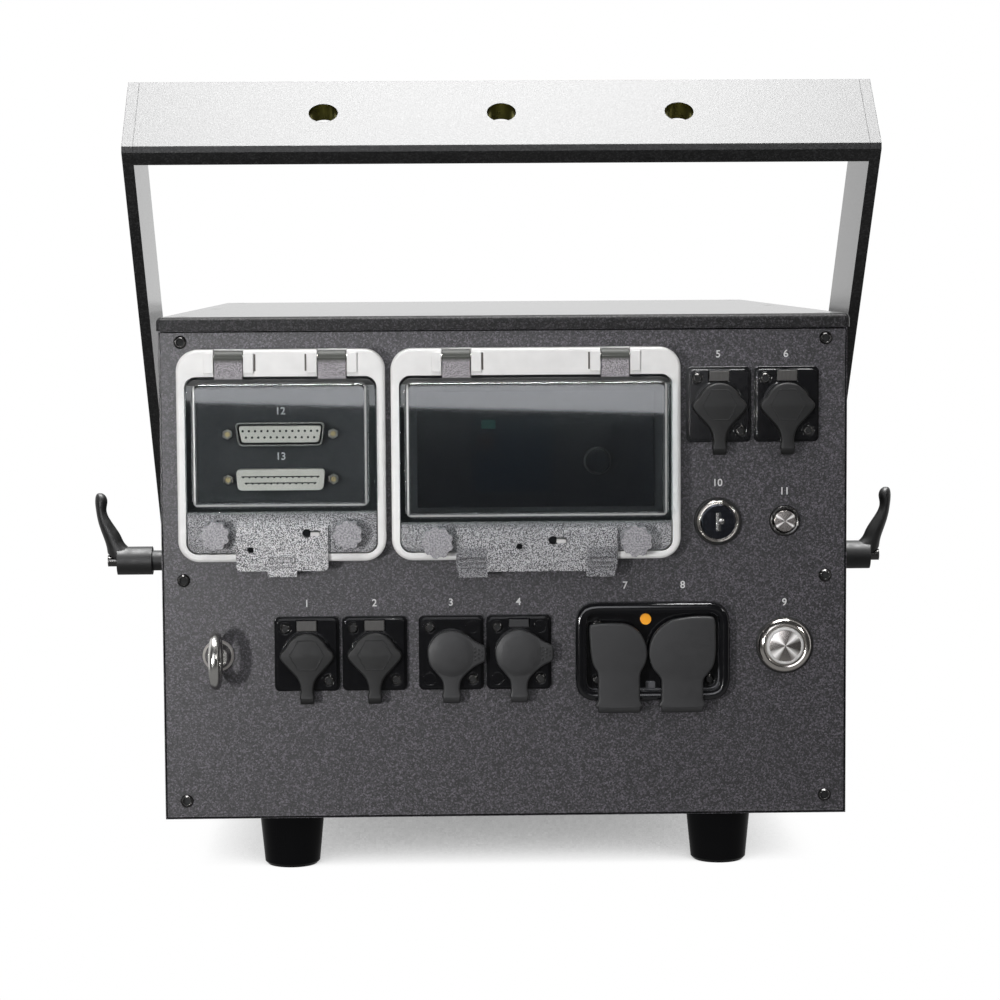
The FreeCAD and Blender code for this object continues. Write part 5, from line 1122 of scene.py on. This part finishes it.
power_at, safety_at, key_at = (middle_of(name) for name in ("power_button", "safety_button", "key_barrel"))
power_metal = turned_face("power_face_metal", power_at, math.radians(42), 0.45)
safety_metal = turned_face("safety_face_metal", safety_at, math.radians(32), 0.22)
for name, middle in (("power", power_at), ("safety", safety_at), ("key", key_at)):
    print(name, "switch at", [round(v, 1) for v in middle])

# %% [markdown]
# ## Switches
# The power button has a chromed ring on a dark gasket, the small button a steel ring, and the key switch
# a black collar round a chromed ring. Every ring is one profile from the lathe, with its rounded
# shoulders written out, because their highlights are what the eye sees first.

# %% Rings and faces
RINGS = ((hollow, power_at, [(13.0, 0), (13.0, 0.7), (12.3, 0.9)]),
         (chrome, power_at, [(12.3, 0.4), (12.3, 1.6), (11.9, 2.5), (11.0, 3.2), (9.9, 3.6), (9.2, 3.4),
                             (8.7, 2.6), (8.6, 1.0)]),
         (dark_steel, safety_at, [(7.0, 0), (7.0, 1.4), (6.6, 2.1), (6.0, 2.4), (5.4, 2.2), (5.2, 1.0)]),
         (hollow, key_at, [(10.75, 0), (10.75, 1.6), (10.5, 2.2), (9.8, 2.4), (9.7, 2.0)]),
         (chrome, key_at, [(9.7, 1.0), (9.6, 2.4), (9.2, 3.0), (8.8, 3.2), (8.6, 3.0), (8.4, 3.35),
                           (7.9, 3.4), (7.7, 3.0), (7.65, 1.0)]))
BUTTON_RIM = [(8.5, -4), (8.5, 3.7), (8.2, 4.2), (7.5, 4.4), (7.1, 4.1)]
BUTTON_FACE = [(7.2, 4.0), (7.1, 4.2), (6.6, 4.35), (0, 4.4)]
SAFETY_FACE = [(5.0, -6), (5.0, 2.6), (4.7, 3.1), (0, 3.2)]
rings = Piece("switch_rings")
for finish, middle, profile in RINGS:
    rings.turned(finish, at_panel(middle), profile)
rings.done("housing", "bright_metal", "switch_housings")

power_face = Piece("power_button_face")
power_face.turned(pale_ring, at_panel(power_at), BUTTON_RIM)
power_face.turned(power_metal, at_panel(power_at), BUTTON_FACE)
power_face.done("power_button", "bright_metal", "power_button")

safety_face = Piece("safety_button_face")
safety_face.turned(safety_metal, at_panel(safety_at), SAFETY_FACE)
safety_face.done("safety_button", "bright_metal", "safety_button")

# %% [markdown]
# ## Keyway
# The key's barrel is a dark mirror. A slot in it shows a bright wafer, with a small round pin beside it.
# The slot could be cut into the barrel, but that is a CAD node and stays as it is, so the slot is a dark
# slab of painted shade just proud of its face. It rides on the barrel and turns with it.

# %% Slot, wafer and pin
KEYWAY_MM, KEYWAY_EDGE_MM, WAFER_MM, BARREL_MM = (1.9, 7.8), 0.6, 1.2, 4.2
WAFER_OUT_MM, PIN_AT_MM, PIN = -0.3, (1.5, 0.2), [(1.3, 0), (1.1, 0.1), (0, 0.1)]
x, z = key_at
wafer = Piece("key_wafer")
slot = oblong(x, z, KEYWAY_MM[0] + KEYWAY_EDGE_MM, KEYWAY_MM[1] + KEYWAY_EDGE_MM, 0.5)
wafer.slab(hollow, slot, 0, BARREL_MM + 0.02)
wafer.slab(zinc, oblong(x + WAFER_OUT_MM, z, WAFER_MM, KEYWAY_MM[1], 0.2), 0, BARREL_MM + 0.05)
wafer.turned(zinc, (x + PIN_AT_MM[0], REAR_MM - BARREL_MM, z + PIN_AT_MM[1]), PIN)
wafer.done("key_barrel", "bright_metal")

# %% [markdown]
# ## Hole sleeves
# The bar's three hanging holes show a yellow zinc wall. Painting the wall would mean new faces in the
# bar, so a thin sleeve lines each hole. The record's mounts give the holes' places and axes.

# %% Sleeves
SLEEVE_MM, BAR_HALF_MM = 6.42, 4.4
sleeves = Piece("hanging_hole_sleeves")
for mount in frame["record"]["mounts"]:
    if mount["name"].endswith("hanging_hole"):
        axis = Vector(mount["axis"]).normalized()
        sleeves.turned(yellow_zinc, Vector(mount["pos_m"]) / MM,
                       [(SLEEVE_MM, -BAR_HALF_MM), (SLEEVE_MM, BAR_HALF_MM)], axis)
sleeves.done("yoke", "steel")

# %% [markdown]
# ## Slits and shade liners
# Beside each hinge knuckle the white frames have a narrow slit. Inside each frame the panel is smooth,
# without the coat's grain, and darker, which is painted shade. The panel's finish could change there by
# place, but a thin liner with its own finish is simpler.

# %% Slits and shade liners
LUG_SPREAD_MM, LUG_MM, KNUCKLE_MM = {"small": 45.8, "large": 70.6}, 13.3, 4.4
SLIT_MM, SLIT_GAP_MM, SLIT_DROP_MM, FRAME_DEPTH_MM = (0.8, 7.6), 0.2, 2, 10.0
OPENING_LOW_MM, OPENING_HIGH_MM, OPENING_CORNER_MM = 145.4, 225.4, 9
FRAME_SIDES_MM, LINER_MM = 7.4, 0.7
slits = Piece("frame_trim")
for kind, spread in LUG_SPREAD_MM.items():
    low, high = box_mm(kind + "_window_frame")
    middle = (low.x + high.x) / 2
    for side in (-1, 1):
        x = middle + side * (spread / 2 - LUG_MM / 2 - KNUCKLE_MM - SLIT_MM[0] / 2 - SLIT_GAP_MM)
        slit = oblong(x, high.z - SLIT_DROP_MM - SLIT_MM[1] / 2, *SLIT_MM, 0.3)
        slits.slab(slit_shade, slit, FRAME_DEPTH_MM - 0.3, FRAME_DEPTH_MM + 0.03)
    shade_liner = oblong(middle, (OPENING_HIGH_MM + OPENING_LOW_MM) / 2, high.x - low.x - FRAME_SIDES_MM,
                   OPENING_HIGH_MM - OPENING_LOW_MM, OPENING_CORNER_MM)
    slits.slab(shade_liners[kind], shade_liner, -0.2, LINER_MM)
slits.done("housing", "white_plastic")

# %% [markdown]
# ## Seal tongues
# Each pull tab has a keyhole for a seal, and a short pale tongue stands in its slot. It could be cut out
# of the cover's mesh, but CAD meshes stay as they are, so it is a small slab of its own. It rides on the
# cover and swings with it.

# %% Seal tongues
KEYHOLE_MM = {"small": (11.0, 9.3), "large": (7.3, 5.3)}
TONGUE_OUT_MM, TONGUE_MM, TONGUE_BACK_MM, TONGUE_FRONT_MM = 3.7, (4.2, 2.0), 7.7, 11.6
for kind, (out, lift) in KEYHOLE_MM.items():
    low, high = box_mm(kind + "_window_frame")
    x = (low.x + high.x) / 2 + out + TONGUE_OUT_MM
    tongue = Piece(kind + "_seal_tongue")
    tongue.slab(pale_ring, oblong(x, OPENING_LOW_MM + lift, *TONGUE_MM, 0.4), TONGUE_BACK_MM, TONGUE_FRONT_MM)
    tongue.done(kind + "_cover", "white_plastic")

# %% [markdown]
# ## Eye collar and shaded edge
# The safety eye stands on a domed collar. The panel's sheet is rolled round its rim, which shows as a
# dark line; the line is painted shade, a near-black finish on the bead. A bevel on the panel's own edge
# would change the CAD mesh, so a thin stack of insets is laid round it.

# %% Collar and edge
COLLAR = [(7.1, 0), (7.1, 0.9), (6.7, 1.7), (5.8, 2.5), (4.4, 3.1), (2.4, 3.4)]
SHADED_EDGE_BEAD = [(-0.06, -2.6), (-0.06, -0.5), (0.1, -0.1), (0.4, 0.05), (0.9, 0.05), (1.0, -0.1)]
EDGE_CORNER_MM = 1.4
left, right = (corner.x for corner in box_mm("side_panels"))
bottom, top = box_mm("base_plate")[0].z, box_mm("rear_panel")[1].z
rim = oblong((left + right) / 2, (bottom + top) / 2, right - left, top - bottom, EDGE_CORNER_MM)
trim = Piece("panel_trim")
trim.turned(pale_zinc, at_panel(middle_of("safety_eye")), COLLAR)
# The near-black bead round the panel's rim is painted shade along the edge.
trim.stack(foot_rubber_and_edge_shade, rim, SHADED_EDGE_BEAD)
trim.done("housing", "steel")

# %% [markdown]
# ## Printed numbers
# Plain numbers in white ink stand over each socket, switch and connector, so that every place has a name.
# A text object could stay as it is, but a mesh is sure to export, so each text is turned into one. The
# ink is a few hundredths of a millimetre thick.

# %% Print the numbers
NUMBER_MM, INK_MM, BOLD_MM = 4.6, 0.03, 0.07
ink = moulded("white_ink", (0.72, 0.72, 0.72), 0.5, 0.6, 0.005)


def number(mark, x, z, proud=0.0):
    """One number in thin ink on the panel."""
    face = bpy.data.curves.new("number_" + mark, "FONT")
    face.body, face.align_x, face.align_y = mark, "CENTER", "CENTER"
    face.size, face.extrude, face.offset = NUMBER_MM * MM, INK_MM * MM, BOLD_MM * MM
    sketch = add("number_sketch", face)
    solid = bpy.data.meshes.new_from_object(sketch.evaluated_get(bpy.context.evaluated_depsgraph_get()))
    bpy.data.objects.remove(sketch)
    upright = Matrix.Rotation(math.pi / 2, 4, "X")
    solid.transform(Matrix.Translation(Vector((x, REAR_MM - proud, z)) * MM) @ upright)
    solid.materials.clear()
    solid.materials.append(ink.material)
    made = add("number_" + mark, solid)
    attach(made, "housing")


SOCKET_LEGEND_MM, POWER_LEGEND_MM, SIGNAL_LEGEND_MM = 22.4, 29.4, 10.0
POWER_LEGENDS_MM, SWITCH_LEGENDS_MM = (-12, 14), ((power_at, 19.3), (key_at, 17.2), (safety_at, 13.2))
places = [(x, z + SOCKET_LEGEND_MM) for name in ("network", "dmx", "interlock") for x, z in sockets[name]]
places += [(power_x + out, power_z + POWER_LEGEND_MM) for out in POWER_LEGENDS_MM]
places += [(x, z + lift) for (x, z), lift in SWITCH_LEGENDS_MM]
behind = [(signal_x, z + SIGNAL_LEGEND_MM) for z in (upper, lower)]
for count, (x, z) in enumerate(places + behind):
    number(str(count + 1), x, z, LINER_MM if (x, z) in behind else 0)
print(len(places + behind), "numbers printed")

# %% [markdown]
